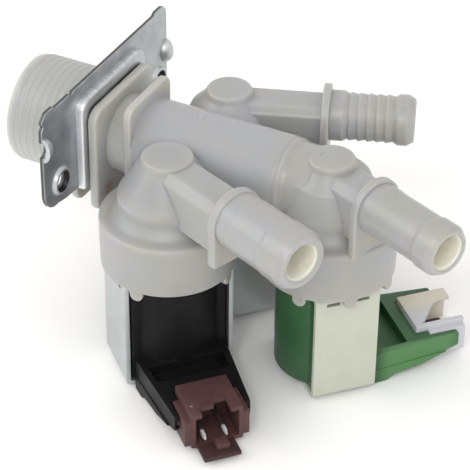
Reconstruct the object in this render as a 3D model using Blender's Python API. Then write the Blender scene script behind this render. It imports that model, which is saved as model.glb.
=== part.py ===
"""Three-way solenoid inlet valve for a washing machine.

A one-piece nylon body carries a threaded inlet, a manifold tube and three valve towers.
Under each tower hang a diaphragm, a plunger in its guide, a coil, a steel yoke and a socket.
A plated steel bracket sits in the groove between the inlet thread and the pad.
X runs from the inlet towards the end valve, Z is up, and Z = 0 is the lowest point.
"""
from math import cos, pi, radians, sin

import bmesh
import bpy
from mathutils import Matrix, Vector

# Sizes are in millimetres and heights count from the inlet's axis; finish() turns them into metres
METRES = 0.001
ORIGIN = Vector((-13.0, 0.0, 50.4))

# Fits and the fineness of round shapes
GAP = 0.3
LAP = 0.4
PAST = 1.0
ROUND = 32
TUBE_ROUND = 20
SMALL_ROUND_COUNT = 14

# Layout seen from above
SIDE_PITCH = 15.5
END_REACH = 33.9
FRONT_SOCKET_TURN = -43.0
BACK_SOCKET_TURN = 46.0
END_SOCKET_TURN = 46.0

# Inlet and manifold along X
THREAD_R = 13.2
THREAD_BEVEL = 1.1
THREAD_RELIEF = 1.4
INLET_X = -45.0
THREAD_END_X = -29.0
INLET_BORE_R = 10.0
INLET_STEP_X = -29.6
NECK_R = 10.4
MANIFOLD_R = 10.2
MANIFOLD_BORE_R = 8.1
MANIFOLD_END_X = 26.0
MANIFOLD_END_WALL = 2.4
MERGE_R = MANIFOLD_R - 0.7
MERGE_X = MANIFOLD_END_X + 5.4

# Bracket sheet
BRACKET_X = -24.4
SHEET = 1.0
BRACKET_HALF = 29.3
BRACKET_TOP = 18.95
TOP_EDGE_LOW = 18.25
TOP_STEP_Y = 23.6
BRACKET_BOTTOM = -9.0
BRACKET_CORNER = 2.6
LOBE_R = 5.0
LOBE_Y = 24.3
LOBE_Z = -2.6
RIB_RISE = 2.2
RIB_WIDE = 3.4
RIB_WALL = 0.8
SIDE_RIB_Y = 13.2
TOP_RIB_Z = 13.5
TOP_RIB_HALF = 13.6
SCREW_PLACES = ((-22.8, -1.6), (23.8, 0.2))
SCREW_R = 2.5
BURR = 0.6
BURR_RISE = 1.1
DIMPLE_PLACES = ((-1, 10.0), (1, 5.9))
DIMPLE_R = 3.1
DIMPLE_RISE = 1.9

# Flange behind the bracket, pad and collar in front of it
FLANGE_THICK = 1.8
PAD_THICK = 2.1
PAD_HALF = 13.7
PAD_TOP = 12.4
PAD_BOTTOM = -15.0
PAD_CORNER = 3.0
COLLAR_X = -14.8
COLLAR_THICK = 2.0
COLLAR_HALF = 9.9
COLLAR_TOP = 12.9
COLLAR_BOTTOM = -9.4
COLLAR_CORNER = 2.4

# Towers
FRONT_CAP_R = 5.9
FRONT_CAP_Z = 8.5
FRONT_WAIST_R = 8.8
FRONT_WAIST_Z = 3.2
TALL_CAP_R = 5.3
TALL_CAP_Z = 9.4
TALL_WAIST_R = 9.2
TALL_WAIST_Z = 4.5
CAP_EDGE = 0.6
TOWER_BASE_R = 11.6
TOWER_BASE_Z = -1.3
TOWER_FOOT_Z = -3.8

# Chamber rings
RING_R = 16.1
RING_TOP = -7.3
RING_BOTTOM = -20.0
RING_EDGE = 0.7
LUG_R = 1.6
LUG_THICK = 1.1
LUG_DROP = 0.8

# Water ways
RING_BORE_R = 14.4
BEAD_SEAT_Z = -14.6
CHAMBER_R = 12.4
CHAMBER_TOP = -9.6
ANNULUS_R = 9.3
ANNULUS_TOP = -2.6
SEAT_R = 5.6
SEAT_Z = -13.8
PORT_R = 3.8
PORT_Z = -5.0
DUCT_BORE_R = 3.2

# Ducts between the towers and the hose stops
OUTLET_Z = 3.9
DUCT_TOP = 7.8
DUCT_FLAT = 3.5
DUCT_HALF = 5.3
DUCT_FOOT = -4.1

# Front spout, measured from the tower's axis
FRONT_OUTLET_TURN = -22.0
FRONT_STOP_AT = 22.2
FRONT_STOP_THICK = 2.3
FRONT_STOP_HALF = 8.6
FRONT_STOP_FOOT = -6.7
FRONT_SPOUT_ROOT_R = 6.6
FRONT_SPOUT_R = 6.85
FRONT_BARREL_R = 7.05
FRONT_BARREL = 8.0
FRONT_TIP = 45.7
FRONT_BORE_R = 4.2

# Back spout, with small barbs
BACK_OUTLET_TURN = 20.0
BACK_STOP_AT = 22.2
BACK_STOP_THICK = 2.0
BACK_STOP_HALF = 8.2
BACK_STOP_FOOT = -6.7
BACK_SPOUT_ROOT_R = 6.05
BACK_SPOUT_R = 5.45
BACK_BARB_R = 5.8
BACK_BARREL_R = 6.1
BACK_BARREL = 4.8
BACK_TIP = 44.3
BACK_BORE_R = 3.9
BACK_BARB_COUNT = 5

# End spout
END_OUTLET_TURN = -23.0
END_STOP_AT = 13.5
END_STOP_THICK = 2.0
END_STOP_HALF = 7.9
END_STOP_FOOT = -8.2
END_SPOUT_ROOT_R = 6.0
END_SPOUT_R = 5.8
END_BARREL_R = 6.2
END_BARREL = 6.2
END_TIP = 37.9
END_BORE_R = 3.9

# Diaphragm and its firm centre
BEAD_R = RING_BORE_R - GAP
BEAD_WIDE = 1.3
BEAD_TOP = BEAD_SEAT_Z - GAP
BEAD_DEPTH = 2.4
WEB = 1.2
CENTRE_HOLE_R = 3.2
CENTRE_PAD_R = 6.6
INSERT_R = 5.5
INSERT_HEAD = 1.0
INSERT_TOP_Z = SEAT_Z + 0.8
PILOT_R = 0.7
PILOT_SEAT = 0.5

# Guide tube, plunger and spring
GUIDE_BORE_R = 4.2
GUIDE_WALL = 0.8
GUIDE_DISH_R = 11.4
GUIDE_DISH_Z = -18.9
GUIDE_END = -44.6
GUIDE_FLOOR = 1.0
PLUNGER_LENGTH = 19.7
SEAL_R = 1.6
SEAL_DEEP = 1.6
SEAL_STAND = 0.5
SPRING_POCKET = 6.0
SPRING_R = 2.3
WIRE_R = 0.28
SPRING_TURNS = 6

# Yoke and pole sleeves, in the valve's own frame: d towards the socket, n across it
YOKE_HALF_D = 7.9
YOKE_HALF_N = 13.5
YOKE_TOP = RING_BOTTOM - GAP
YOKE_BOTTOM = -49.6
YOKE_SHEET = 1.2
YOKE_BEND = 1.6
VENT_HALF = 1.6
VENT_D = 3.6
VENT_TALL = 0.8
SLEEVE_WALL = 1.1
SLEEVE_LENGTH = 8.0

# Coil
COIL_R = YOKE_HALF_N - YOKE_SHEET - GAP
COIL_TOP = YOKE_TOP - YOKE_SHEET - GAP
COIL_BOTTOM = YOKE_BOTTOM + YOKE_SHEET + GAP
CHEEK_HALF_D = 7.5

# Tongue that reaches out to the socket
TONGUE_ROOT_D = 9.5
TONGUE_ROOT_HALF = 11.3
TONGUE_TIP_D = 31.2
TONGUE_TIP_HALF = 9.6
TONGUE_TOP = -41.8
TONGUE_LIP = -50.4
TONGUE_LIP_LONG = 3.9
TONGUE_STEP = 1.3
TONGUE_BELLY_D = 21.0
TONGUE_BELLY = -48.5
TONGUE_TIP_BOTTOM = -45.7
TRAY_WALL = 1.9
TRAY_FLOOR = TONGUE_TOP - 2.8
CROSS_RIB_D = 17.8

# Socket housing
SOCKET_HALF = 6.3
SOCKET_BOTTOM = TONGUE_TOP - 7.5
SOCKET_WALL = 1.1
FRONT_SOCKET_BACK = 22.6
FRONT_SOCKET_FACE = 34.6
FRONT_SOCKET_TOP = TONGUE_TOP + 2.1
WHITE_SOCKET_BACK = 21.2
WHITE_SOCKET_FACE = 33.7
WHITE_SOCKET_TOP = TONGUE_TOP + 1.5
WING_HALF = 7.9
WING_TOP = TONGUE_TOP + 0.2
WING_BOTTOM = TONGUE_TOP - 6.6
WING_START = 3.0
RAIL_HALF = 8.6
RAIL_TOP = TONGUE_TOP - 1.6
RAIL_BOTTOM = TONGUE_TOP - 2.8
LATCH_REACH = 5.5
LATCH_HALF = 4.5
LATCH_N = -0.6
KEY_HALF = 1.6
KEY_N = 0.25
KEY_REACH = 3.7
KEY_LONG = 3.2
KEY_RISE = 1.5
PIN_PITCH = 5.2
PIN_N = -0.5
PIN_Z = TONGUE_TOP - 4.8
PIN_REACH = 0.4
PIN_SIDE = 0.8


class Spout:
    """Sizes of one outlet, measured along it from the tower's axis."""

    def __init__(self, turn, stop, body, bore_r, barb_r=0.0, barbs=0):
        self.turn = turn
        self.stop_at, self.stop_thick, self.stop_half, self.stop_foot = stop
        self.root_r, self.run_r, self.barrel_r, self.barrel, self.tip = body
        self.bore_r = bore_r
        self.barb_r = barb_r
        self.barbs = barbs


class Valve:
    """One valve: where its tower stands, the shape of the tower, its outlet and its socket."""

    def __init__(self, name, x, y, cap, spout, socket_turn, socket_span, lugs):
        self.name = name
        self.axis = Vector((x, y, 0.0))
        self.cap_r, self.cap_z, self.waist_r, self.waist_z = cap
        self.spout = spout
        self.socket_turn = socket_turn
        self.socket_back, self.socket_face, self.socket_top = socket_span
        self.lugs = lugs


FRONT_SPOUT = Spout(
    FRONT_OUTLET_TURN,
    (FRONT_STOP_AT, FRONT_STOP_THICK, FRONT_STOP_HALF, FRONT_STOP_FOOT),
    (FRONT_SPOUT_ROOT_R, FRONT_SPOUT_R, FRONT_BARREL_R, FRONT_BARREL, FRONT_TIP),
    FRONT_BORE_R,
)
BACK_SPOUT = Spout(
    BACK_OUTLET_TURN,
    (BACK_STOP_AT, BACK_STOP_THICK, BACK_STOP_HALF, BACK_STOP_FOOT),
    (BACK_SPOUT_ROOT_R, BACK_SPOUT_R, BACK_BARREL_R, BACK_BARREL, BACK_TIP),
    BACK_BORE_R,
    BACK_BARB_R,
    BACK_BARB_COUNT,
)
END_SPOUT = Spout(
    END_OUTLET_TURN,
    (END_STOP_AT, END_STOP_THICK, END_STOP_HALF, END_STOP_FOOT),
    (END_SPOUT_ROOT_R, END_SPOUT_R, END_BARREL_R, END_BARREL, END_TIP),
    END_BORE_R,
)
FRONT_CAP = (FRONT_CAP_R, FRONT_CAP_Z, FRONT_WAIST_R, FRONT_WAIST_Z)
TALL_CAP = (TALL_CAP_R, TALL_CAP_Z, TALL_WAIST_R, TALL_WAIST_Z)
FRONT_SPAN = (FRONT_SOCKET_BACK, FRONT_SOCKET_FACE, FRONT_SOCKET_TOP)
WHITE_SPAN = (WHITE_SOCKET_BACK, WHITE_SOCKET_FACE, WHITE_SOCKET_TOP)
FRONT = Valve("front", 0.0, -SIDE_PITCH, FRONT_CAP, FRONT_SPOUT, FRONT_SOCKET_TURN, FRONT_SPAN, (0, -90, 180))
BACK = Valve("back", 0.0, SIDE_PITCH, TALL_CAP, BACK_SPOUT, BACK_SOCKET_TURN, WHITE_SPAN, (0, 90, 180))
END = Valve("end", END_REACH, 0.0, TALL_CAP, END_SPOUT, END_SOCKET_TURN, WHITE_SPAN, (0, -45, -90, 90))
VALVES = (FRONT, BACK, END)


def clear_scene():
    """Remove whatever the start-up scene holds."""
    for item in list(bpy.data.objects):
        bpy.data.objects.remove(item, do_unlink=True)


# Surfaces

def surface(name, colour, roughness, metallic=0.0):
    """A named surface with a plain colour, made once."""
    if name in bpy.data.materials:
        return bpy.data.materials[name]
    made = bpy.data.materials.new(name)
    made.use_nodes = True
    shader = made.node_tree.nodes["Principled BSDF"]
    shader.inputs["Base Color"].default_value = (*colour, 1.0)
    shader.inputs["Roughness"].default_value = roughness
    shader.inputs["Metallic"].default_value = metallic
    return made


def nylon():
    """Milky natural nylon of the body."""
    return surface("nylon", (0.62, 0.62, 0.57), 0.42)


def zinc():
    """Blue-grey plating of the bracket."""
    return surface("zinc", (0.30, 0.32, 0.36), 0.38, 1.0)


def steel():
    """Bare turned steel of the plungers and sleeves."""
    return surface("steel", (0.55, 0.55, 0.56), 0.35, 1.0)


def spring_wire():
    """Drawn wire of the return springs."""
    return surface("spring_wire", (0.60, 0.60, 0.60), 0.3, 1.0)


def tin():
    """Bright tinned pins."""
    return surface("tin", (0.80, 0.80, 0.78), 0.25, 1.0)


def strainer_plastic():
    """Plastic of the strainer and the regulator's holder."""
    return surface("strainer_plastic", (0.55, 0.55, 0.50), 0.5)


def guide_plastic():
    """Plastic of the guide tubes and diaphragm centres."""
    return surface("guide_plastic", (0.45, 0.45, 0.42), 0.4)


def rubber():
    """Black rubber of the diaphragms and the regulator ring."""
    return surface("rubber", (0.03, 0.03, 0.03), 0.8)


def seal_rubber():
    """Softer rubber of the plunger tips."""
    return surface("seal_rubber", (0.10, 0.10, 0.10), 0.7)


def yoke_zinc():
    """Pale plating of the front and back yokes."""
    return surface("yoke_zinc", (0.55, 0.55, 0.54), 0.45, 1.0)


def yoke_cream():
    """Pale coating of the end yoke."""
    return surface("yoke_cream", (0.66, 0.67, 0.55), 0.5, 0.3)


def coil_black():
    """Black plastic of the front and back coils."""
    return surface("coil_black", (0.02, 0.02, 0.022), 0.5)


def coil_green():
    """Green plastic of the end coil."""
    return surface("coil_green", (0.04, 0.17, 0.07), 0.5)


def socket_brown():
    """Brown plastic of the front socket."""
    return surface("socket_brown", (0.20, 0.07, 0.07), 0.55)


def socket_white():
    """White plastic of the other sockets."""
    return surface("socket_white", (0.60, 0.60, 0.62), 0.5)


# Shape helpers: each gives back one closed object in the frame of the inlet's axis

def new_object(name, shape):
    """Turn a bmesh into an object of its own."""
    bmesh.ops.recalc_face_normals(shape, faces=shape.faces)
    mesh = bpy.data.meshes.new(name)
    shape.to_mesh(mesh)
    shape.free()
    made = bpy.data.objects.new(name, mesh)
    bpy.context.collection.objects.link(made)
    return made


def turned(profile, place=Matrix.Identity(4), steps=ROUND):
    """Revolve a closed profile of (radius, height) points round the local Z axis."""
    shape = bmesh.new()
    rings = []
    for radius, height in profile:
        turns = [2 * pi * k / steps for k in range(steps)] if radius else [0.0]
        rings.append([shape.verts.new((radius * cos(t), radius * sin(t), height)) for t in turns])
    for lower, upper in zip(rings, rings[1:] + rings[:1]):
        if len(lower) == 1 and len(upper) == 1:
            continue
        for k in range(steps):
            after = (k + 1) % steps
            corners = [lower[k % len(lower)], lower[after % len(lower)]]
            corners += [upper[after % len(upper)], upper[k % len(upper)]]
            shape.faces.new(list(dict.fromkeys(corners)))
    bmesh.ops.transform(shape, matrix=place, verts=shape.verts)
    return new_object("turned", shape)


def rod(radius, low, high, place=Matrix.Identity(4), steps=TUBE_ROUND):
    """A plain round bar along the local Z axis."""
    return turned([(0, low), (radius, low), (radius, high), (0, high)], place, steps)


def tube(inner, outer, low, high, place, steps=TUBE_ROUND):
    """A plain round tube along the local Z axis."""
    return turned([(inner, low), (outer, low), (outer, high), (inner, high)], place, steps)


def prism(outline, low, high, place=Matrix.Identity(4)):
    """Extrude an outline of (x, y) points from one height to another."""
    shape = bmesh.new()
    base = shape.faces.new([shape.verts.new((x, y, low)) for x, y in outline])
    sides = bmesh.ops.extrude_face_region(shape, geom=[base])["geom"]
    raised = [item for item in sides if isinstance(item, bmesh.types.BMVert)]
    bmesh.ops.translate(shape, verts=raised, vec=(0.0, 0.0, high - low))
    bmesh.ops.transform(shape, matrix=place, verts=shape.verts)
    return new_object("prism", shape)


def block(x, y, z, place=Matrix.Identity(4)):
    """A box between pairs of limits along each axis."""
    return prism([(x[0], y[0]), (x[1], y[0]), (x[1], y[1]), (x[0], y[1])], z[0], z[1], place)


def arc(centre, radius, start, stop, count=5):
    """Points along a circular arc, angles in degrees."""
    turns = [radians(start + (stop - start) * k / count) for k in range(count + 1)]
    return [(centre[0] + radius * cos(t), centre[1] + radius * sin(t)) for t in turns]


def rounded_box(x, y, radius, count=5):
    """Outline of a rectangle with rounded corners."""
    right, left = x[1] - radius, x[0] + radius
    top, bottom = y[1] - radius, y[0] + radius
    corners = ((right, top, 0), (left, top, 90), (left, bottom, 180), (right, bottom, 270))
    points = []
    for cx, cy, start in corners:
        points += arc((cx, cy), radius, start, start + 90, count)
    return points


def mirrored(half_outline):
    """Close an outline given on the negative-y side by its mirror image."""
    return half_outline + [(x, -y) for x, y in reversed(half_outline)]


def split_faces(made):
    """Turn every face into flat triangles, which the next step cuts most cleanly."""
    shape = bmesh.new()
    shape.from_mesh(made.data)
    bmesh.ops.triangulate(shape, faces=shape.faces)
    shape.to_mesh(made.data)
    shape.free()


def combine(base, tool, operation):
    """Fuse, cut or clip a base with a tool, and remove the tool."""
    split_faces(base)
    split_faces(tool)
    tool.hide_render = True
    tool.display_type = "WIRE"
    step = base.modifiers.new("step", "BOOLEAN")
    step.object = tool
    step.operation = operation
    step.solver = "EXACT"
    graph = bpy.context.evaluated_depsgraph_get()
    result = bpy.data.meshes.new_from_object(base.evaluated_get(graph))
    base.modifiers.clear()
    base.data = result
    bpy.data.objects.remove(tool, do_unlink=True)
    return base


def add(base, *tools):
    """Fuse tools onto a base."""
    for tool in tools:
        combine(base, tool, "UNION")
    return base


def cut(base, *tools):
    """Take tools away from a base."""
    for tool in tools:
        combine(base, tool, "DIFFERENCE")
    return base


def finish(made, name, look, pivot=Vector((0.0, 0.0, 0.0))):
    """Name a piece, give it its surface, clean its mesh and set it in its place in metres."""
    weld = 0.002
    flat = radians(0.1)
    shape = bmesh.new()
    shape.from_mesh(made.data)
    bmesh.ops.remove_doubles(shape, verts=shape.verts, dist=weld)
    bmesh.ops.dissolve_degenerate(shape, edges=shape.edges, dist=weld)
    bmesh.ops.dissolve_limit(shape, angle_limit=flat, verts=shape.verts, edges=shape.edges)
    bmesh.ops.translate(shape, verts=shape.verts, vec=-pivot)
    bmesh.ops.scale(shape, verts=shape.verts, vec=(METRES, METRES, METRES))
    shape.to_mesh(made.data)
    shape.free()
    made.location = (ORIGIN + pivot) * METRES
    made.name = name
    made.data.name = name
    made.data.materials.clear()
    made.data.materials.append(look)
    made.data.shade_smooth()
    made.data.set_sharp_from_angle(angle=radians(35))
    return made


# Frames

ALONG_X = Matrix.Rotation(pi / 2, 4, "Y")
FACING_X = Matrix.Rotation(pi / 2, 4, "Z") @ Matrix.Rotation(pi / 2, 4, "X")


def upright_at(valve):
    """Local Z up on the valve's own axis."""
    return Matrix.Translation(valve.axis)


def outlet_frame(valve):
    """Local Z along the outlet, local X down, local Y across."""
    aim = Matrix.Rotation(radians(valve.spout.turn), 4, "Z")
    return Matrix.Translation(valve.axis + Vector((0, 0, OUTLET_Z))) @ aim @ ALONG_X


def socket_frame(valve):
    """Local X towards the socket, local Y across, Z up."""
    return upright_at(valve) @ Matrix.Rotation(radians(valve.socket_turn), 4, "Z")


# Outer shapes of the body

def pad_back():
    """Rear face of the pad in front of the bracket's ribs."""
    return BRACKET_X + RIB_RISE + GAP


def inlet_shape():
    """Thread barrel, the flange behind the bracket and the neck that passes through the bracket's slot."""
    flange_front = BRACKET_X - SHEET - GAP
    flange_back = flange_front - FLANGE_THICK
    groove_r = THREAD_R - THREAD_RELIEF
    end = pad_back() - GAP
    made = turned([
        (0, INLET_X),
        (THREAD_R - THREAD_BEVEL, INLET_X),
        (THREAD_R, INLET_X + THREAD_BEVEL),
        (THREAD_R, THREAD_END_X),
        (groove_r, THREAD_END_X + LAP),
        (groove_r, flange_back + LAP),
        (NECK_R, flange_back + LAP),
        (NECK_R, end),
        (0, end),
    ], ALONG_X)
    outline = rounded_box((-PAD_HALF, PAD_HALF), (PAD_BOTTOM, PAD_TOP), PAD_CORNER)
    return add(made, prism(outline, flange_back, flange_front, FACING_X))


def manifold_shape(grow=0.0):
    """Pad, waist, collar and manifold tube, or with a growth the room that they need."""
    start = pad_back()
    waist_r = NECK_R - 2 * LAP + grow
    made = turned([
        (0, start + LAP),
        (waist_r, start + LAP),
        (waist_r, COLLAR_X + LAP),
        (MANIFOLD_R + grow, COLLAR_X + LAP),
        (MANIFOLD_R + grow, MANIFOLD_END_X - 2.2),
        (MANIFOLD_R + grow - 0.4, MANIFOLD_END_X - 0.8),
        (MERGE_R + grow, MANIFOLD_END_X + grow),
        (0, MANIFOLD_END_X + grow),
    ], ALONG_X)
    outline = rounded_box((-PAD_HALF, PAD_HALF), (PAD_BOTTOM, PAD_TOP), PAD_CORNER)
    add(made, prism(outline, start, start + PAD_THICK, FACING_X))
    half = COLLAR_HALF + grow
    outline = rounded_box((-half, half), (COLLAR_BOTTOM - grow, COLLAR_TOP + grow), COLLAR_CORNER)
    return add(made, prism(outline, COLLAR_X - grow, COLLAR_X + COLLAR_THICK + grow, FACING_X))


def tower(valve):
    """The capped cone, its hollow shoulder and the chamber ring below it."""
    return turned([
        (0, valve.cap_z),
        (valve.cap_r - CAP_EDGE, valve.cap_z),
        (valve.cap_r, valve.cap_z - CAP_EDGE),
        (valve.waist_r, valve.waist_z),
        (TOWER_BASE_R, TOWER_BASE_Z),
        (TOWER_BASE_R - 0.1, TOWER_FOOT_Z),
        (TOWER_BASE_R + 0.6, TOWER_FOOT_Z - 2.2),
        (TOWER_BASE_R + 1.9, RING_TOP + 0.2),
        (RING_R - RING_EDGE, RING_TOP),
        (RING_R, RING_TOP - RING_EDGE),
        (RING_R - 0.2, RING_BOTTOM),
        (0, RING_BOTTOM),
    ], upright_at(valve))


def ring_lug(valve, turn):
    """Half-round tab that hangs below the chamber ring."""
    outline = arc((0, RING_BOTTOM - LUG_DROP), LUG_R, 180, 360, 6)
    outline += [(LUG_R, RING_BOTTOM + PAST), (-LUG_R, RING_BOTTOM + PAST)]
    place = upright_at(valve) @ Matrix.Rotation(radians(turn), 4, "Z") @ FACING_X
    outer = RING_R - LAP
    return prism(outline, outer - LUG_THICK, outer, place)


def duct(valve):
    """Flat-topped duct from the tower to the hose stop, with bevelled shoulders."""
    top = OUTLET_Z - DUCT_TOP
    shoulder = top + DUCT_HALF - DUCT_FLAT
    foot = OUTLET_Z - DUCT_FOOT
    half = [(top, -DUCT_FLAT), (shoulder, -DUCT_HALF), (foot, -DUCT_HALF)]
    return prism(mirrored(half), 0, valve.spout.stop_at + LAP, outlet_frame(valve))


def hose_stop(valve):
    """Arched plate that the hose is pushed against, square at its foot."""
    spout = valve.spout
    foot = OUTLET_Z - spout.stop_foot
    outline = arc((0, 0), spout.stop_half, 90, 270, 12)
    outline += [(foot, -spout.stop_half), (foot, spout.stop_half)]
    return prism(outline, spout.stop_at, spout.stop_at + spout.stop_thick, outlet_frame(valve))


def spout(valve):
    """Hollow hose spout beyond the stop, with an end barrel, a bevelled mouth and barbs if it has them."""
    shape = valve.spout
    front = shape.stop_at + shape.stop_thick
    start = front + GAP
    collar = shape.stop_at + LAP + 5.0
    run = collar + 1.6
    barrel = shape.tip - shape.barrel
    bevel = 0.9
    flare = 0.5
    profile = [(DUCT_BORE_R, start), (shape.root_r, start), (shape.root_r, collar), (shape.run_r, run)]
    for k in range(shape.barbs):
        pitch = (barrel - run) / shape.barbs
        profile += [(shape.barb_r, run + pitch * (k + 0.1)), (shape.run_r, run + pitch * (k + 0.9))]
    if not shape.barbs:
        profile.append((shape.run_r, barrel))
    profile += [(shape.barrel_r, barrel + LAP), (shape.barrel_r, shape.tip - 1.6)]
    profile += [(shape.barrel_r - bevel, shape.tip), (shape.bore_r + flare, shape.tip)]
    profile += [(shape.bore_r, shape.tip - flare), (shape.bore_r, front + 2.0)]
    return finish(turned(profile, outlet_frame(valve), TUBE_ROUND), valve.name + "_spout", nylon())


# Water ways of the body

def inlet_way():
    """Wide inlet bore with a step, then the manifold bore."""
    end = MANIFOLD_END_X - MANIFOLD_END_WALL
    return turned([
        (0, INLET_X - PAST),
        (INLET_BORE_R, INLET_X - PAST),
        (INLET_BORE_R, INLET_STEP_X),
        (MANIFOLD_BORE_R, INLET_STEP_X),
        (MANIFOLD_BORE_R, end - 1.0),
        (MANIFOLD_BORE_R - 1.0, end),
        (0, end),
    ], ALONG_X, TUBE_ROUND)


def chamber_way(valve):
    """Bore for the diaphragm's bead, chamber, and the ring-shaped space round the seat."""
    below = RING_BOTTOM - PAST
    return turned([
        (0, below),
        (RING_BORE_R, below),
        (RING_BORE_R, BEAD_SEAT_Z),
        (CHAMBER_R, BEAD_SEAT_Z),
        (CHAMBER_R, CHAMBER_TOP),
        (ANNULUS_R, CHAMBER_TOP),
        (ANNULUS_R, ANNULUS_TOP),
        (SEAT_R, ANNULUS_TOP),
        (SEAT_R, SEAT_Z),
        (0, SEAT_Z),
    ], upright_at(valve), TUBE_ROUND)


def port_way(valve):
    """Round passage from the manifold into the space round the seat."""
    turn = 180 if valve is END else 90 if valve is FRONT else -90
    reach = END_REACH - MANIFOLD_END_X + 6.0 if valve is END else SIDE_PITCH - 2.0
    aim = Matrix.Rotation(radians(turn), 4, "Z") @ ALONG_X
    place = Matrix.Translation(valve.axis + Vector((0, 0, PORT_Z))) @ aim
    return rod(PORT_R, SEAT_R + 1.2, reach, place, SMALL_ROUND_COUNT)


def outlet_way(valve):
    """Way from the seat up into the tower and out through the duct and the hose stop."""
    end = valve.spout.stop_at + valve.spout.stop_thick + PAST
    way = rod(DUCT_BORE_R, 0, end, outlet_frame(valve))
    return add(way, rod(DUCT_BORE_R, SEAT_Z - PAST, OUTLET_Z + DUCT_BORE_R * 0.6, upright_at(valve)))


def inlet_barrel():
    """Threaded inlet end of the body."""
    made = inlet_shape()
    cut(made, inlet_way())
    return finish(made, "inlet_barrel", nylon())


def manifold():
    """Manifold tube of the body with a port for each valve."""
    made = manifold_shape()
    cut(made, inlet_way(), *(port_way(valve) for valve in VALVES))
    return finish(made, "manifold", nylon())


def ring_parting(side):
    """Room that keeps the rings of the front and the back valve apart."""
    wide = RING_R / 2
    near = -GAP / 2
    return block((-wide, wide), sorted((near * side, wide * side)), (RING_BOTTOM - PAST, RING_TOP + PAST))


def valve_tower(valve):
    """Capped tower of the body with its chamber ring, its duct and its hose stop."""
    made = tower(valve)
    add(made, duct(valve), hose_stop(valve), *(ring_lug(valve, turn) for turn in valve.lugs))
    if valve is END:
        add(made, rod(MERGE_R, MANIFOLD_END_X - PAST, MERGE_X, ALONG_X, ROUND))
    else:
        cut(made, ring_parting(1 if valve is FRONT else -1))
    cut(made, chamber_way(valve), outlet_way(valve), port_way(valve), manifold_shape(GAP))
    return finish(made, valve.name + "_tower", nylon())


# Bracket

def bracket_outline():
    """Plate outline in (y, z): a stepped top edge, a lobe at each lower corner, a slot for the neck."""
    corner = (BRACKET_HALF - BRACKET_CORNER, BRACKET_TOP - BRACKET_CORNER)
    slot_r = NECK_R + GAP
    right = [(slot_r, BRACKET_BOTTOM), (LOBE_Y - LOBE_R * 0.8, BRACKET_BOTTOM + 0.7)]
    right += arc((LOBE_Y, LOBE_Z), LOBE_R, 262, 360, 7)
    right += arc(corner, BRACKET_CORNER, 0, 90, 4)
    right += [(TOP_STEP_Y + 0.5, BRACKET_TOP), (TOP_STEP_Y - 0.5, TOP_EDGE_LOW)]
    left = [(-y, z) for y, z in reversed(right)]
    return right + left + arc((0, 0), slot_r, 180, 0, 16)


def ribs():
    """Outer and inner outlines and the height of the cross rib and of the two side ribs under its ends."""
    half = RIB_WIDE / 2
    inside = half - RIB_WALL
    low = BRACKET_BOTTOM + LAP
    high = TOP_RIB_Z - half + 0.6
    made = [(rounded_box((-TOP_RIB_HALF, TOP_RIB_HALF), (TOP_RIB_Z - half, TOP_RIB_Z + half), half * 0.95),
             rounded_box((RIB_WALL - TOP_RIB_HALF, TOP_RIB_HALF - RIB_WALL),
                         (TOP_RIB_Z - inside, TOP_RIB_Z + inside), inside * 0.9), RIB_RISE)]
    for y in (-SIDE_RIB_Y, SIDE_RIB_Y):
        made.append((rounded_box((y - half, y + half), (low, high), 0.7, 2),
                     rounded_box((y - inside, y + inside), (low + RIB_WALL, high - RIB_WALL), 0.4, 2),
                     RIB_RISE - 0.2))
    return made


def screw_hole(place, grow, low, high):
    """Round hole in a lower lobe, or the collar round it when it is grown."""
    outline = arc(place, SCREW_R + grow, 0, 360 * 15 / 16, 15)
    return prism(outline, low, high, FACING_X)


def dimple(side, z, radius, low, high):
    """Round-topped bulge centred on the plate's side edge, or the hollow behind it."""
    place = Matrix.Translation((0, side * BRACKET_HALF, z)) @ ALONG_X
    rise = high - BRACKET_X
    shoulder = [(radius * cos(k * pi / 12), BRACKET_X + rise * sin(k * pi / 12)) for k in range(6)]
    return turned([(0, low), (radius, low)] + shoulder + [(0, high)], place, TUBE_ROUND)


def bracket():
    """Plated sheet with a slot for the neck, pressed ribs, dimples at the side edges and drawn collars."""
    back = BRACKET_X - SHEET
    face = BRACKET_X
    burr_face = face + BURR_RISE
    beyond = BRACKET_HALF - 0.1
    made = prism(bracket_outline(), back, face, FACING_X)
    for outer, inner, rise in ribs():
        add(made, prism(outer, face - LAP, face + rise, FACING_X))
        cut(made, prism(inner, back - LAP, face + rise - RIB_WALL, FACING_X))
    for side, z in DIMPLE_PLACES:
        bulge = dimple(side, z, DIMPLE_R, face - LAP, face + DIMPLE_RISE)
        across = sorted((side * beyond, side * (beyond + 2 * DIMPLE_R)))
        along = (back - PAST, face + DIMPLE_RISE + PAST)
        cut(bulge, block(along, across, (z - 2 * DIMPLE_R, z + 2 * DIMPLE_R)))
        add(made, bulge)
        cut(made, dimple(side, z, DIMPLE_R - SHEET, back - LAP, face + DIMPLE_RISE - SHEET))
    for place in SCREW_PLACES:
        add(made, screw_hole(place, BURR, face - LAP, burr_face))
        cut(made, screw_hole(place, 0, back - LAP, burr_face + LAP))
    return finish(made, "mounting_bracket", zinc())


# Inlet fittings

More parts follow.
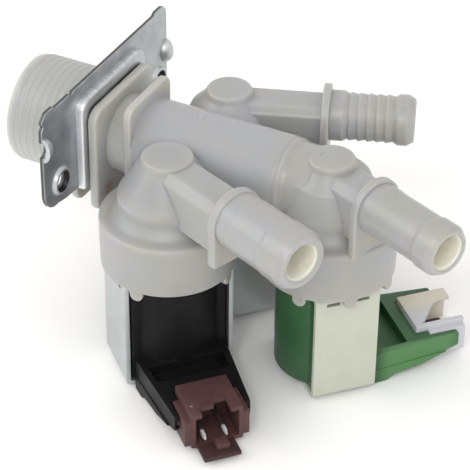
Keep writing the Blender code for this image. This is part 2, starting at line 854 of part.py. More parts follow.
def inlet_strainer():
    """Cup-shaped strainer cage that sits inside the thread, with windows round its side."""
    mouth = INLET_X + 1.5
    end = INLET_STEP_X - 5.6
    rim_r = INLET_BORE_R - GAP
    wall = 0.9
    made = turned([
        (rim_r - 1.4, mouth),
        (rim_r, mouth),
        (rim_r, mouth + 2.2),
        (rim_r - 1.0, mouth + 2.6),
        (rim_r - 3.0, end),
        (0, end),
        (0, end - wall),
        (rim_r - 3.0 - wall, end - wall),
        (rim_r - 1.0 - wall, mouth + 2.4),
    ], ALONG_X, TUBE_ROUND)
    windows = 6
    half = 2.3
    for k in range(windows):
        turn = Matrix.Rotation(2 * pi * (k + 0.5) / windows, 4, "X")
        cut(made, block((mouth + 3.4, end - 1.6), (-half, half), (4.0, INLET_BORE_R), turn))
    return finish(made, "inlet_strainer", strainer_plastic())


def regulator_holder():
    """Disc that sits on the bore's step and carries the regulator ring on a short hub."""
    back = INLET_STEP_X - GAP
    front = back - 1.4
    hub = front - 1.7
    made = turned([
        (2.4, front),
        (3.4, front),
        (3.4, hub),
        (4.3, hub),
        (4.3, front),
        (INLET_BORE_R - GAP, front),
        (INLET_BORE_R - GAP, back),
        (2.4, back),
    ], ALONG_X, TUBE_ROUND)
    return finish(made, "regulator_holder", strainer_plastic())


def regulator_ring():
    """Soft ring that narrows the way as the pressure rises."""
    thick = 1.2
    middle = INLET_STEP_X - GAP - 1.4 - thick - GAP
    made = turned(arc((4.3 + GAP + thick, middle), thick, 0, 360 * 7 / 8, 7), ALONG_X, TUBE_ROUND)
    return finish(made, "regulator_ring", rubber())


# Works inside each valve

def diaphragm_base():
    """Height of the diaphragm's underside at its centre."""
    return SEAT_Z - GAP - WEB


def pilot_end():
    """Height of the pilot seat under the firm centre."""
    return diaphragm_base() - GAP - INSERT_HEAD - PILOT_SEAT


def diaphragm(valve):
    """Rubber disc with a thick bead, a thin web and a hole for its firm centre."""
    top = SEAT_Z - GAP
    bead_in = BEAD_R - BEAD_WIDE
    made = turned([
        (CENTRE_HOLE_R, top),
        (CENTRE_PAD_R, top),
        (CENTRE_PAD_R + 0.8, top - WEB * 0.6),
        (bead_in - 0.9, BEAD_TOP - 0.8),
        (bead_in, BEAD_TOP),
        (BEAD_R, BEAD_TOP),
        (BEAD_R, BEAD_TOP - BEAD_DEPTH),
        (bead_in, BEAD_TOP - BEAD_DEPTH),
        (bead_in - 0.9, BEAD_TOP - 1.8),
        (CENTRE_PAD_R + 0.4, diaphragm_base()),
        (CENTRE_HOLE_R, diaphragm_base()),
    ], upright_at(valve), TUBE_ROUND)
    return finish(made, valve.name + "_diaphragm", rubber())


def diaphragm_insert(valve):
    """Firm centre of the diaphragm, with a fine pilot hole and a raised pilot seat."""
    head_top = diaphragm_base() - GAP
    head_bottom = head_top - INSERT_HEAD
    hub_r = CENTRE_HOLE_R - GAP
    made = turned([
        (PILOT_R, pilot_end()),
        (PILOT_R * 2, pilot_end()),
        (PILOT_R * 2 + 0.3, head_bottom),
        (INSERT_R, head_bottom),
        (INSERT_R, head_top),
        (hub_r, head_top),
        (hub_r - 0.2, INSERT_TOP_Z),
        (PILOT_R, INSERT_TOP_Z),
    ], upright_at(valve), SMALL_ROUND_COUNT)
    return finish(made, valve.name + "_diaphragm_insert", guide_plastic())


def guide_tube(valve):
    """Closed guide tube with the dished flange that clamps the diaphragm's bead."""
    outer = GUIDE_BORE_R + GUIDE_WALL
    floor = GUIDE_END + GUIDE_FLOOR
    rim = BEAD_TOP - BEAD_DEPTH - GAP
    made = turned([
        (0, floor),
        (GUIDE_BORE_R - 0.6, floor),
        (GUIDE_BORE_R, floor + 0.6),
        (GUIDE_BORE_R, GUIDE_DISH_Z),
        (GUIDE_DISH_R, GUIDE_DISH_Z),
        (GUIDE_DISH_R + 0.5, rim),
        (BEAD_R, rim),
        (BEAD_R, RING_BOTTOM),
        (outer, RING_BOTTOM),
        (outer, GUIDE_END),
        (0, GUIDE_END),
    ], upright_at(valve), TUBE_ROUND)
    return finish(made, valve.name + "_guide_tube", guide_plastic())


def plunger_top():
    """Height of the plunger's upper face with the valve closed."""
    return pilot_end() - GAP - SEAL_STAND


def plunger(valve):
    """Steel plunger with a seal pocket above and a spring pocket below."""
    top = plunger_top()
    end = top - PLUNGER_LENGTH
    radius = GUIDE_BORE_R - GAP
    seal_pocket_r = SEAL_R + GAP
    spring_pocket_r = SPRING_R + WIRE_R + GAP
    made = turned([
        (0, top - SEAL_DEEP),
        (seal_pocket_r, top - SEAL_DEEP),
        (seal_pocket_r, top),
        (radius - 0.5, top),
        (radius, top - 0.5),
        (radius, end),
        (spring_pocket_r, end),
        (spring_pocket_r, end + SPRING_POCKET),
        (0, end + SPRING_POCKET),
    ], upright_at(valve), SMALL_ROUND_COUNT)
    return finish(made, valve.name + "_plunger", steel(), valve.axis + Vector((0, 0, top)))


def plunger_seal(valve):
    """Rubber tip that closes the pilot hole."""
    top = plunger_top()
    made = rod(SEAL_R, top - SEAL_DEEP + GAP, top + SEAL_STAND, upright_at(valve), SMALL_ROUND_COUNT)
    return finish(made, valve.name + "_plunger_seal", seal_rubber(), valve.axis + Vector((0, 0, top)))


def plunger_spring(valve):
    """Coil spring between the guide's floor and the plunger's pocket."""
    low = GUIDE_END + GUIDE_FLOOR + GAP + WIRE_R
    high = plunger_top() - PLUNGER_LENGTH + SPRING_POCKET - GAP - WIRE_R
    per_turn = 8
    steps = SPRING_TURNS * per_turn
    corners = [(WIRE_R, 0), (0, WIRE_R), (-WIRE_R, 0), (0, -WIRE_R)]
    shape = bmesh.new()
    rings = []
    for k in range(steps + 1):
        turn = 2 * pi * k / per_turn
        rise = low + (high - low) * k / steps
        radii = [(SPRING_R + out, rise + up) for out, up in corners]
        rings.append([shape.verts.new((r * cos(turn), r * sin(turn), z)) for r, z in radii])
    for lower, upper in zip(rings, rings[1:]):
        for j in range(len(corners)):
            after = (j + 1) % len(corners)
            shape.faces.new((lower[j], lower[after], upper[after], upper[j]))
    shape.faces.new(rings[0])
    shape.faces.new(rings[-1][::-1])
    bmesh.ops.transform(shape, matrix=upright_at(valve), verts=shape.verts)
    return finish(new_object("spring", shape), valve.name + "_plunger_spring", spring_wire())


def sleeve_bore():
    """Inner radius of the pole sleeves and of the yoke's holes."""
    return GUIDE_BORE_R + GUIDE_WALL + GAP


def pole_sleeve(valve, place, top):
    """Steel bush that leads the field from the yoke to the plunger."""
    made = tube(sleeve_bore(), sleeve_bore() + SLEEVE_WALL, top - SLEEVE_LENGTH, top, upright_at(valve))
    return finish(made, valve.name + "_" + place + "_pole_sleeve", steel())


# Yoke, coil and socket

def yoke(valve):
    """Bent steel strip closed round the coil, open towards the socket and behind."""
    frame = socket_frame(valve)
    across = frame @ FACING_X
    half = YOKE_HALF_N
    sheet = YOKE_SHEET
    outer = rounded_box((-half, half), (YOKE_BOTTOM, YOKE_TOP), YOKE_BEND, 4)
    inner = rounded_box((sheet - half, half - sheet), (YOKE_BOTTOM + sheet, YOKE_TOP - sheet), 0.5, 2)
    made = prism(outer, -YOKE_HALF_D, YOKE_HALF_D, across)
    cut(made, prism(inner, -YOKE_HALF_D - PAST, YOKE_HALF_D + PAST, across))
    cut(made, rod(sleeve_bore(), YOKE_BOTTOM - PAST, YOKE_TOP + PAST, frame))
    vent_top = YOKE_TOP - sheet - 0.2
    through = (-half - PAST, half + PAST)
    for d in (-VENT_D, VENT_D):
        cut(made, block((d - VENT_HALF, d + VENT_HALF), through, (vent_top - VENT_TALL, vent_top), frame))
    return finish(made, valve.name + "_yoke", yoke_cream() if valve is END else yoke_zinc())


def tongue():
    """Tongue with a lip under its root, a rising underside and sides that run together."""
    root_d = YOKE_HALF_D + GAP
    lip_end = root_d + TONGUE_LIP_LONG
    inside = -2.0
    side_view = [
        (root_d, TONGUE_LIP),
        (lip_end, TONGUE_LIP),
        (lip_end + TONGUE_STEP * 1.4, TONGUE_LIP + TONGUE_STEP),
        (TONGUE_BELLY_D, TONGUE_BELLY),
        (TONGUE_TIP_D, TONGUE_TIP_BOTTOM),
        (TONGUE_TIP_D, TONGUE_TOP - 0.6),
        (TONGUE_TIP_D - 1.0, TONGUE_TOP),
        (inside, TONGUE_TOP),
        (inside, COIL_BOTTOM + LAP),
        (root_d, COIL_BOTTOM + LAP),
    ]
    made = prism(side_view, -COIL_R * 2, COIL_R * 2, Matrix.Rotation(pi / 2, 4, "X"))
    plan = [(inside + 1.0, LAP - COIL_R), (TONGUE_ROOT_D, -TONGUE_ROOT_HALF)]
    plan.append((TONGUE_TIP_D + LAP, -TONGUE_TIP_HALF))
    return combine(made, prism(mirrored(plan), TONGUE_LIP - PAST, TONGUE_TOP + PAST), "INTERSECT")


def coil(valve):
    """Moulded coil with flat cheeks, and the tongue with its tray and the bay for the socket."""
    edge = 0.7
    made = turned([
        (0, COIL_TOP),
        (COIL_R - edge, COIL_TOP),
        (COIL_R, COIL_TOP - edge),
        (COIL_R, COIL_BOTTOM + edge),
        (COIL_R - edge, COIL_BOTTOM),
        (0, COIL_BOTTOM),
    ])
    cheeks = rounded_box((-CHEEK_HALF_D, CHEEK_HALF_D), (0.1 - COIL_R, COIL_R - 0.1), 0.5, 2)
    add(made, prism(cheeks, COIL_BOTTOM + 0.1, COIL_TOP - 0.1))
    add(made, tongue())
    tray_half = TONGUE_ROOT_HALF - TRAY_WALL
    tray = [(COIL_R * 0.99, -tray_half), (CROSS_RIB_D, 0.6 - tray_half)]
    cut(made, prism(mirrored(tray), TRAY_FLOOR, TONGUE_TOP + PAST))
    socket_half = SOCKET_HALF + GAP
    wing_half = WING_HALF + GAP
    wing_d = valve.socket_back + WING_START - GAP
    end = TONGUE_TIP_D + PAST
    bay = [(valve.socket_back - GAP, -socket_half), (wing_d, -socket_half)]
    bay += [(wing_d, -wing_half), (end, -wing_half)]
    cut(made, prism(mirrored(bay), TONGUE_LIP - PAST, TONGUE_TOP + PAST))
    groove = RAIL_HALF + GAP
    cut(made, block((wing_d + 1.0, end), (-groove, groove), (RAIL_BOTTOM - GAP, RAIL_TOP + GAP)))
    cut(made, rod(sleeve_bore() + SLEEVE_WALL + GAP, COIL_BOTTOM - PAST, COIL_TOP + PAST))
    cut(made, *(pin_hole(n, CROSS_RIB_D - 3.0, valve.socket_back) for n in pin_places()))
    made.data.transform(socket_frame(valve))
    return finish(made, valve.name + "_coil", coil_green() if valve is END else coil_black())


def pin_places():
    """Places of the two pins across the socket."""
    return PIN_N - PIN_PITCH / 2, PIN_N + PIN_PITCH / 2


def pin_hole(n, start, end):
    """Square hole round a pin, in the socket's own frame."""
    half = PIN_SIDE / 2 + GAP
    return block((start, end), (n - half, n + half), (PIN_Z - half, PIN_Z + half))


def stepped_notch(face):
    """Roof opening of the front socket: a shallow slot with a deeper one beside it."""
    shallow, deep = face - 2.4, face - 4.1
    left, middle, right = -3.7, -0.1, 3.3
    slot = [(shallow, left), (shallow, middle), (deep, middle), (deep, right)]
    return slot + [(face + PAST, right), (face + PAST, left)]


def swept_notch(face):
    """Roof opening of the white sockets: it sweeps back along the far wall."""
    far, near = -5.2, 2.8
    sweep = [(face - 10.6, far), (face - 9.4, -4.4), (face - 7.4, -1.0)]
    sweep += [(face - 5.4, 1.6), (face - 3.4, near)]
    return sweep + [(face + PAST, near), (face + PAST, far)]


def socket(valve):
    """Socket housing with side wings on rails, an open roof edge, a key and a latch tongue."""
    back = valve.socket_back
    face = valve.socket_face
    top = valve.socket_top
    floor = SOCKET_BOTTOM + SOCKET_WALL
    inner = SOCKET_HALF - SOCKET_WALL
    rail = (back + WING_START + 1.4, face - 3.8)
    made = block((back, face), (-SOCKET_HALF, SOCKET_HALF), (SOCKET_BOTTOM, top))
    add(made, block((back + WING_START, face - 0.2), (-WING_HALF, WING_HALF), (WING_BOTTOM, WING_TOP)))
    add(made, block(rail, (-RAIL_HALF, RAIL_HALF), (RAIL_BOTTOM, RAIL_TOP)))
    latch = (face - 3.0, face + LATCH_REACH)
    add(made, block(latch, (LATCH_N - LATCH_HALF, LATCH_N + LATCH_HALF), (SOCKET_BOTTOM + 0.05, floor)))
    hollow = (back + 3.2, face + LATCH_REACH + PAST)
    cut(made, block(hollow, (-inner, inner), (floor - 0.02, top - SOCKET_WALL)))
    opening = stepped_notch(face) if valve is FRONT else swept_notch(face)
    cut(made, prism(opening, top - SOCKET_WALL - PAST, top + PAST))
    key = (face + KEY_REACH - KEY_LONG, face + KEY_REACH)
    add(made, block(key, (KEY_N - KEY_HALF, KEY_N + KEY_HALF), (floor - LAP, floor + KEY_RISE)))
    cut(made, *(pin_hole(n, back - PAST, back + 4.0) for n in pin_places()))
    made.data.transform(socket_frame(valve))
    return finish(made, valve.name + "_socket", socket_brown() if valve is FRONT else socket_white())


def pin(valve, label, n):
    """Square pin with a pointed tip, from the tongue's cross rib into the socket."""
    half = PIN_SIDE / 2
    start = CROSS_RIB_D - 2.4
    tip = valve.socket_face + PIN_REACH
    outline = [(start, n - half), (tip - 1.0, n - half), (tip, n - half * 0.4), (tip, n + half * 0.4)]
    outline += [(tip - 1.0, n + half), (start, n + half)]
    made = prism(outline, PIN_Z - half, PIN_Z + half, socket_frame(valve))
    return finish(made, valve.name + "_pin_" + label, tin())


def build():
    """Make every sub-part."""
    clear_scene()
    inlet_barrel()
    manifold()
    bracket()
    inlet_strainer()
    regulator_holder()
    regulator_ring()
    for valve in VALVES:
        valve_tower(valve)
        spout(valve)
        diaphragm(valve)
        diaphragm_insert(valve)
        guide_tube(valve)
        plunger(valve)
        plunger_seal(valve)
        plunger_spring(valve)
        pole_sleeve(valve, "upper", COIL_TOP)
        pole_sleeve(valve, "lower", COIL_BOTTOM + SLEEVE_LENGTH)
        yoke(valve)
        coil(valve)
        socket(valve)
        for label, n in zip(("a", "b"), pin_places()):
            pin(valve, label, n)


build()
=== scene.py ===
"""Looks of a three-way washing machine inlet valve, laid out as an add-on and run as a script."""
from math import atan2, cos, pi, radians, sin, tan

import bmesh
import bpy
from mathutils import Matrix, Vector


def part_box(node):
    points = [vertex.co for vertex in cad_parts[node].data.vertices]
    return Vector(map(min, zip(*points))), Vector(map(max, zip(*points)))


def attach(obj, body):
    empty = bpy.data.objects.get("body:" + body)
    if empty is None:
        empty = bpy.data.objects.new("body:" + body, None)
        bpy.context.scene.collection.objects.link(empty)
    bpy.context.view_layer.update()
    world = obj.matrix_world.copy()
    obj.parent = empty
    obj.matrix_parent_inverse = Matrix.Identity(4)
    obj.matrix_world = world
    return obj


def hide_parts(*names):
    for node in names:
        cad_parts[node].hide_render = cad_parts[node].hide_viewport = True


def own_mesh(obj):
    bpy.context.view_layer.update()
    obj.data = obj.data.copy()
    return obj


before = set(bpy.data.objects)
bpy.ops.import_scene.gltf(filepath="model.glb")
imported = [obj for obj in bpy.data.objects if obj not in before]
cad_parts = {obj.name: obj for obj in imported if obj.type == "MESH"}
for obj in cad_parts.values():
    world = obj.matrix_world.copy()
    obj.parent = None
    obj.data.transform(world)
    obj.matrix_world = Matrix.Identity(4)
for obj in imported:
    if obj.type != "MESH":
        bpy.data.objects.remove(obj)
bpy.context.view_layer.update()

bl_info = {
    "name": "Inlet valve looks",
    "version": (1, 0, 0),
    "blender": (4, 5, 0),
    "location": "View3D > Sidebar > Inlet valve",
    "description": "Builds the visible pieces of a three-way washing machine inlet valve",
    "category": "Object",
}

# Shapes are drawn in millimetres round the inlet's axis and set in their place in metres
MM = 0.001
ORIGIN = Vector((-13.0, 0.0, 50.4))
PLACE = Matrix.Translation(ORIGIN * MM) @ Matrix.Scale(MM, 4)

# Clearance between pieces, overlap of fused shapes, and how far a cutter runs past what it cuts
GAP = 0.3
LAP = 0.4
PAST = 1.0

# Steps of a full circle
ROUND = 96
TUBE_ROUND = 64

# Points nearer than this are welded, and edges sharper than these stay sharp
WELD = 1e-4
SHARP = radians(32.0)
SHARP_GROWN = radians(40.0)

# Heights and distances shared by several pieces
SIDE_PITCH = 15.5
END_REACH = 33.9
BRACKET_X = -24.4
SHEET = 1.0
RIB_RISE = 2.2
RIB_TOP = 15.2
RIB_FAR = 14.9
PLATE_HALF = 29.3
SCREW_BORE_R = 2.5
RING_R = 16.1
RING_TOP = -7.0
RING_BOTTOM = -20.0
NECK_R = 10.4
INLET_X = -45.0
INLET_BORE_R = 10.0
INLET_STEP_X = -29.6
MANIFOLD_BORE_R = 8.1
MANIFOLD_STOP_X = 23.6
OUTLET_Z = 3.9
SEAT_Z = -13.8
SEAT_WAY_R = 3.2
PORT_R = 3.8
PORT_Z = -5.0
GUIDE_BORE_R = 4.2
GUIDE_WALL = 0.8
SLEEVE_BORE_R = GUIDE_BORE_R + GUIDE_WALL + GAP
YOKE_HALF_D = 7.9
YOKE_HALF_N = 13.5
YOKE_TOP = -20.3
YOKE_BOTTOM = -49.6
TONGUE_TOP = -41.8
CROSS_RIB_D = 17.8
SOCKET_TOP = -39.7
SOCKET_BOTTOM = -49.3
SOCKET_HALF = 6.3
PIN_Z = -46.6
PIN_SIDE = 0.8
PIN_PLACES = (-3.1, 2.1)


class Spout:
    """Sizes of one outlet, measured along it from the tower's axis."""

    def __init__(self, turn, stop, body, bore_r, barb_r=0.0, barbs=0):
        self.turn = turn
        self.stop_at, self.stop_thick, self.stop_half, self.stop_foot = stop
        self.root_r, self.run_r, self.barrel_r, self.barrel, self.tip = body
        self.bore_r = bore_r
        self.barb_r = barb_r
        self.barbs = barbs


class Valve:
    """One valve: where its tower stands, the shape of the tower, its outlet and its socket."""

    def __init__(self, name, x, y, cap, spout, socket_turn, socket_span, lugs):
        self.name = name
        self.axis = Vector((x, y, 0.0))
        self.cap_r, self.cap_z, self.waist_r, self.waist_z = cap
        self.spout = spout
        self.socket_turn = socket_turn
        self.socket_back, self.socket_face = socket_span
        self.lugs = lugs

    def upright(self):
        """Local Z up on the valve's own axis."""
        return Matrix.Translation(self.axis)

    def outlet(self):
        """Local Z along the outlet, local X down, local Y across."""
        aim = Matrix.Rotation(radians(self.spout.turn), 4, "Z")
        return Matrix.Translation(self.axis + Vector((0, 0, OUTLET_Z))) @ aim @ ALONG_X

    def socket(self):
        """Local X towards the socket, local Y across, Z up."""
        return self.upright() @ Matrix.Rotation(radians(self.socket_turn), 4, "Z")


ALONG_X = Matrix.Rotation(pi / 2, 4, "Y")
FACING_X = Matrix.Rotation(pi / 2, 4, "Z") @ Matrix.Rotation(pi / 2, 4, "X")
FRONT = Valve("front", 0.0, -SIDE_PITCH, (5.9, 8.5, 8.8, 3.2),
              Spout(-22.0, (22.2, 2.3, 7.1, -6.7), (6.6, 6.8, 7.05, 8.0, 45.7), 4.2),
              -43.0, (22.6, 34.6), (0, -90, 180))
BACK = Valve("back", 0.0, SIDE_PITCH, (5.3, 9.4, 9.2, 4.5),
             Spout(20.0, (22.3, 1.9, 7.5, -6.7), (6.05, 5.4, 6.1, 4.8, 44.3), 3.9, 5.8, 5),
             46.0, (21.2, 33.7), (0, 90, 180))
END = Valve("end", END_REACH, 0.0, (5.3, 9.4, 9.2, 4.5),
            Spout(-23.0, (13.5, 2.0, 6.8, -8.2), (6.0, 5.85, 6.2, 6.2, 37.9), 3.9),
            46.0, (21.2, 33.7), (0, -45, -90, 90))
VALVES = (FRONT, BACK, END)
SCREW_PLACES = ((-22.8, -1.6), (23.8, 0.2))

# Where the camera stands beside and below the line to the inlet's axis, in metres
CAMERA_ASIDE = 0.0084047
CAMERA_BELOW = 0.0192244


# Sizes and colours that a user may change

def number(name, description, default, **kind):
    """A number property."""
    return bpy.props.FloatProperty(name=name, description=description, default=default, **kind)


def length(name, description, millimetres):
    """A size property, given in millimetres."""
    return number(name, description, millimetres * MM, min=0.0, unit="LENGTH", subtype="DISTANCE",
                  precision=4)


def share(name, description, default):
    """A property between nothing and one."""
    return number(name, description, default, min=0.0, max=1.0, subtype="FACTOR")


def angle(name, description, degrees):
    """An angle property, given in degrees."""
    return number(name, description, radians(degrees), subtype="ANGLE")


def colour(name, description, default):
    """A colour property."""
    return bpy.props.FloatVectorProperty(name=name, description=description, default=default,
                                         min=0.0, max=1.0, size=3, subtype="COLOR")


class BodySettings(bpy.types.PropertyGroup):
    """Nylon body and its thread."""

    thread_radius: length("Thread radius", "Outer radius of the inlet thread", 13.2)
    thread_pitch: length("Thread pitch", "Distance between two turns of the thread", 1.81)
    thread_depth: length("Thread depth", "Height of the thread's ridges", 0.10)
    nylon: colour("Nylon", "Milky colour of the body", (0.340, 0.342, 0.328))
    # Warm tint: random warm patches, and painted warm shade under each spout's root by the hose stop
    warm: colour("Warm tint", "Tint of deep and thick places", (0.44, 0.38, 0.27))
    cool: colour("Cool", "Bluish bloom of the thicker nylon", (0.345, 0.352, 0.382))
    inside: colour("Inside", "Glow of the thin walls inside the spouts", (0.80, 0.79, 0.71))
    # Painted light on the pad, the collar and the thread, strongest on the thread's underside
    bloom: colour("Bloom", "Paler nylon of the pad, the collar and the thread", (0.56, 0.56, 0.52))
    # Painted shade on the front tower's cone and painted light on the end tower's cone
    front_cone_shade: colour("Front cone", "Nylon of the front tower's cone", (0.26, 0.265, 0.30))
    end_cone_light: colour("End cone", "Nylon of the end tower's cone", (0.47, 0.475, 0.54))
    scorch: colour("Scorch", "Brown mark at the neck", (0.30, 0.13, 0.035))
    milkiness: share("Milkiness", "How far light spreads inside the nylon", 0.7)


class BracketSettings(bpy.types.PropertyGroup):
    """Plated bracket."""

    sheet: length("Sheet", "Thickness of the sheet", SHEET)
    rib_rise: length("Rib rise", "How far the pressed ribs stand out", RIB_RISE)
    plating: colour("Plating", "Blue-grey plating", (0.31, 0.325, 0.355))
    # Painted reflection: the plating turns lighter towards the far end
    pale: colour("Pale end", "Plating towards the far end", (0.40, 0.41, 0.43))
    # Brighter metal in random patches, and painted highlight on the rib walls
    bright_patches_and_sheen: colour("Worn crest", "Brighter metal on the ribs and edges", (0.82, 0.83, 0.85))
    edge: colour("Cut edge", "Bare steel of the cut edges", (0.11, 0.115, 0.11))
    # Painted shade inside the screw holes
    hole: colour("Screw hole", "Dark rims of the screw holes", (0.02, 0.02, 0.022))


class YokeSettings(bpy.types.PropertyGroup):
    """Steel yokes."""

    sheet: length("Sheet", "Thickness of the strip", 1.2)
    zinc: colour("Zinc", "Plating of the front and back yokes", (0.50, 0.52, 0.53))
    cream: colour("Cream", "Coating of the end yoke", (0.50, 0.515, 0.44))


class CoilSettings(bpy.types.PropertyGroup):
    """Moulded coils."""

    black: colour("Black", "Plastic of the front and back coils", (0.009, 0.0085, 0.009))
    green: colour("Green", "Plastic of the end coil", (0.026, 0.098, 0.034))
    # Painted light on the near side of the end coil's tongue
    flank: colour("Flank", "Paler side of the end coil's tongue", (0.066, 0.19, 0.062))


class SocketSettings(bpy.types.PropertyGroup):
    """Plug sockets and pins."""

    brown: colour("Brown", "Plastic of the front socket", (0.088, 0.040, 0.040))
    white: colour("White", "Plastic of the other sockets", (0.52, 0.52, 0.56))
    # Warmer tone on the far side of the white sockets
    far_side_tone: colour("Aged", "Yellowed plastic on the far side of the white sockets", (0.60, 0.55, 0.47))
    wall: length("Wall", "Wall thickness of the sockets", 1.1)
    tin: colour("Tin", "Bright metal of the pins", (0.95, 0.95, 0.95))
    # Painted shade on the pins' roots deep in the sockets
    pin_root_shade: colour("Tarnish", "Dark metal deep in the sockets", (0.07, 0.05, 0.05))


class InnerSettings(bpy.types.PropertyGroup):
    """Strainer and the works inside the valves."""

    plastic: colour("Plastic", "Strainer, guide tubes and diaphragm centres", (0.55, 0.55, 0.50))
    rubber: colour("Rubber", "Diaphragms, seals and the regulator ring", (0.03, 0.03, 0.03))
    steel: colour("Steel", "Plungers, sleeves and springs", (0.56, 0.56, 0.57))
    wire: length("Net wire", "Thickness of the strainer's net", 0.22)


class StageSettings(bpy.types.PropertyGroup):
    """Floor, light and camera."""

    floor: colour("Floor", "Plain floor", (0.93, 0.93, 0.93))
    key: number("Main light", "Strength of the large light", 1.9, unit="POWER")
    fill: number("Fill light", "Strength of the weaker lights", 1.5, unit="POWER")
    azimuth: angle("Azimuth", "Turn of the camera", 26.63)
    elevation: angle("Elevation", "Height of the camera", 35.95)
    roll: angle("Roll", "Tilt of the camera", 0.58)
    distance: length("Distance", "From the camera to the valve", 486.3)
    lens: number("Lens", "Focal length", 159.04)
    world: number("World", "Strength of the light from all round", 0.95)


# Shapes

def new_object(name, shape):
    """Turn a bmesh into an object of its own, faces outwards."""
    bmesh.ops.recalc_face_normals(shape, faces=shape.faces)
    mesh = bpy.data.meshes.new(name)
    shape.to_mesh(mesh)
    shape.free()
    made = bpy.data.objects.new(name, mesh)
    bpy.context.scene.collection.objects.link(made)
    return made


def rounded(corners, count=4):
    """Closed outline of (x, y) or (x, y, radius) corners; a radius turns the corner into an arc."""
    outline = []
    for k, corner in enumerate(corners):
        here = Vector(corner[:2])
        if len(corner) < 3:
            outline.append(here)
            continue
        back = Vector(corners[k - 1][:2]) - here
        ahead = Vector(corners[(k + 1) % len(corners)][:2]) - here
        half = back.angle(ahead) / 2
        reach = min(corner[2] / tan(half), back.length * 0.48, ahead.length * 0.48)
        middle = (back.normalized() + ahead.normalized()).normalized()
        centre = here + middle * (reach / cos(half))
        start = here + back.normalized() * reach - centre
        stop = here + ahead.normalized() * reach - centre
        first = atan2(start.y, start.x)
        sweep = (atan2(stop.y, stop.x) - first + pi) % (2 * pi) - pi
        for j in range(count + 1):
            turn = first + sweep * j / count
            outline.append(centre + Vector((cos(turn), sin(turn))) * start.length)
    return [(p.x, p.y) for p in outline]


def turned(profile, place=Matrix.Identity(4), steps=ROUND):
    """Revolve a closed profile of (radius, height[, corner radius]) points round the local Z axis."""
    shape = bmesh.new()
    rings = []
    for radius, height in rounded(profile, 5):
        turns = [2 * pi * k / steps for k in range(steps)] if radius > 1e-6 else [0.0]
        rings.append([shape.verts.new((radius * cos(t), radius * sin(t), height)) for t in turns])
    for lower, upper in zip(rings, rings[1:] + rings[:1]):
        if len(lower) == 1 and len(upper) == 1:
            continue
        for k in range(steps):
            after = (k + 1) % steps
            corners = [lower[k % len(lower)], lower[after % len(lower)]]
            corners += [upper[after % len(upper)], upper[k % len(upper)]]
            shape.faces.new(list(dict.fromkeys(corners)))
    bmesh.ops.transform(shape, matrix=place, verts=shape.verts)
    return new_object("turned", shape)


def rod(radius, low, high, place=Matrix.Identity(4), steps=TUBE_ROUND):
    """A plain round bar along the local Z axis."""
    return turned([(0, low), (radius, low), (radius, high), (0, high)], place, steps)


def prism(outline, low, high, place=Matrix.Identity(4), edge=0.0, rims=(True, True)):
    """Extrude an outline from one height to another, with its rims rounded by edge."""
    shape = bmesh.new()
    base = shape.faces.new([shape.verts.new((x, y, low)) for x, y in rounded(outline)])
    sides = bmesh.ops.extrude_face_region(shape, geom=[base])["geom"]
    raised = [item for item in sides if isinstance(item, bmesh.types.BMVert)]
    bmesh.ops.translate(shape, verts=raised, vec=(0.0, 0.0, high - low))
    if edge:
        heights = [height for height, wanted in zip((low, high), rims) if wanted]
        rim = [e for e in shape.edges if any(all(abs(v.co.z - h) < 1e-5 for v in e.verts) for h in heights)]
        bmesh.ops.bevel(shape, geom=rim, offset=edge, segments=3, profile=0.5, affect="EDGES",
                        clamp_overlap=True)
    bmesh.ops.transform(shape, matrix=place, verts=shape.verts)
    return new_object("prism", shape)


def block(x, y, z, place=Matrix.Identity(4), edge=0.0):
    """A box between pairs of limits along each axis, all its edges rounded by edge."""
    shape = bmesh.new()
    bmesh.ops.create_cube(shape, size=1.0)
    size = Vector((x[1] - x[0], y[1] - y[0], z[1] - z[0]))
    middle = Vector((sum(x), sum(y), sum(z))) / 2
    bmesh.ops.scale(shape, vec=size, verts=shape.verts)
    bmesh.ops.translate(shape, vec=middle, verts=shape.verts)
    if edge:
        bmesh.ops.bevel(shape, geom=shape.edges[:], offset=edge, segments=2, profile=0.5, affect="EDGES")
    bmesh.ops.transform(shape, matrix=place, verts=shape.verts)
    return new_object("block", shape)


def arc(centre, radius, start, stop, count=12):
    """Points along a circular arc, angles in degrees."""
    turns = [radians(start + (stop - start) * k / count) for k in range(count + 1)]
    return [(centre[0] + radius * cos(t), centre[1] + radius * sin(t)) for t in turns]


def rounded_box(x, y, radius):
    """Outline of a rectangle with rounded corners."""
    return [(x[1], y[1], radius), (x[0], y[1], radius), (x[0], y[0], radius), (x[1], y[0], radius)]


def mirrored(half_outline):
    """Close an outline given on the negative-y side by its mirror image."""
    return half_outline + [(x, -y, *rest) for x, y, *rest in reversed(half_outline)]


def carve(base, steps):
    """Fuse, cut or clip a base with (operation, tool) steps, and remove the tools."""
    for operation, tool in steps:
        step = base.modifiers.new("step", "BOOLEAN")
        step.object = tool
        step.operation = operation
        step.solver = "MANIFOLD"
    graph = bpy.context.evaluated_depsgraph_get()
    mesh = bpy.data.meshes.new_from_object(base.evaluated_get(graph))
    base.modifiers.clear()
    base.data = mesh
    for _, tool in steps:
        bpy.data.objects.remove(tool, do_unlink=True)
    return base


def add(base, *tools):
    """Fuse tools onto a base."""
    return carve(base, [("UNION", tool) for tool in tools])


def cut(base, *tools):
    """Take tools away from a base."""
    return carve(base, [("DIFFERENCE", tool) for tool in tools])


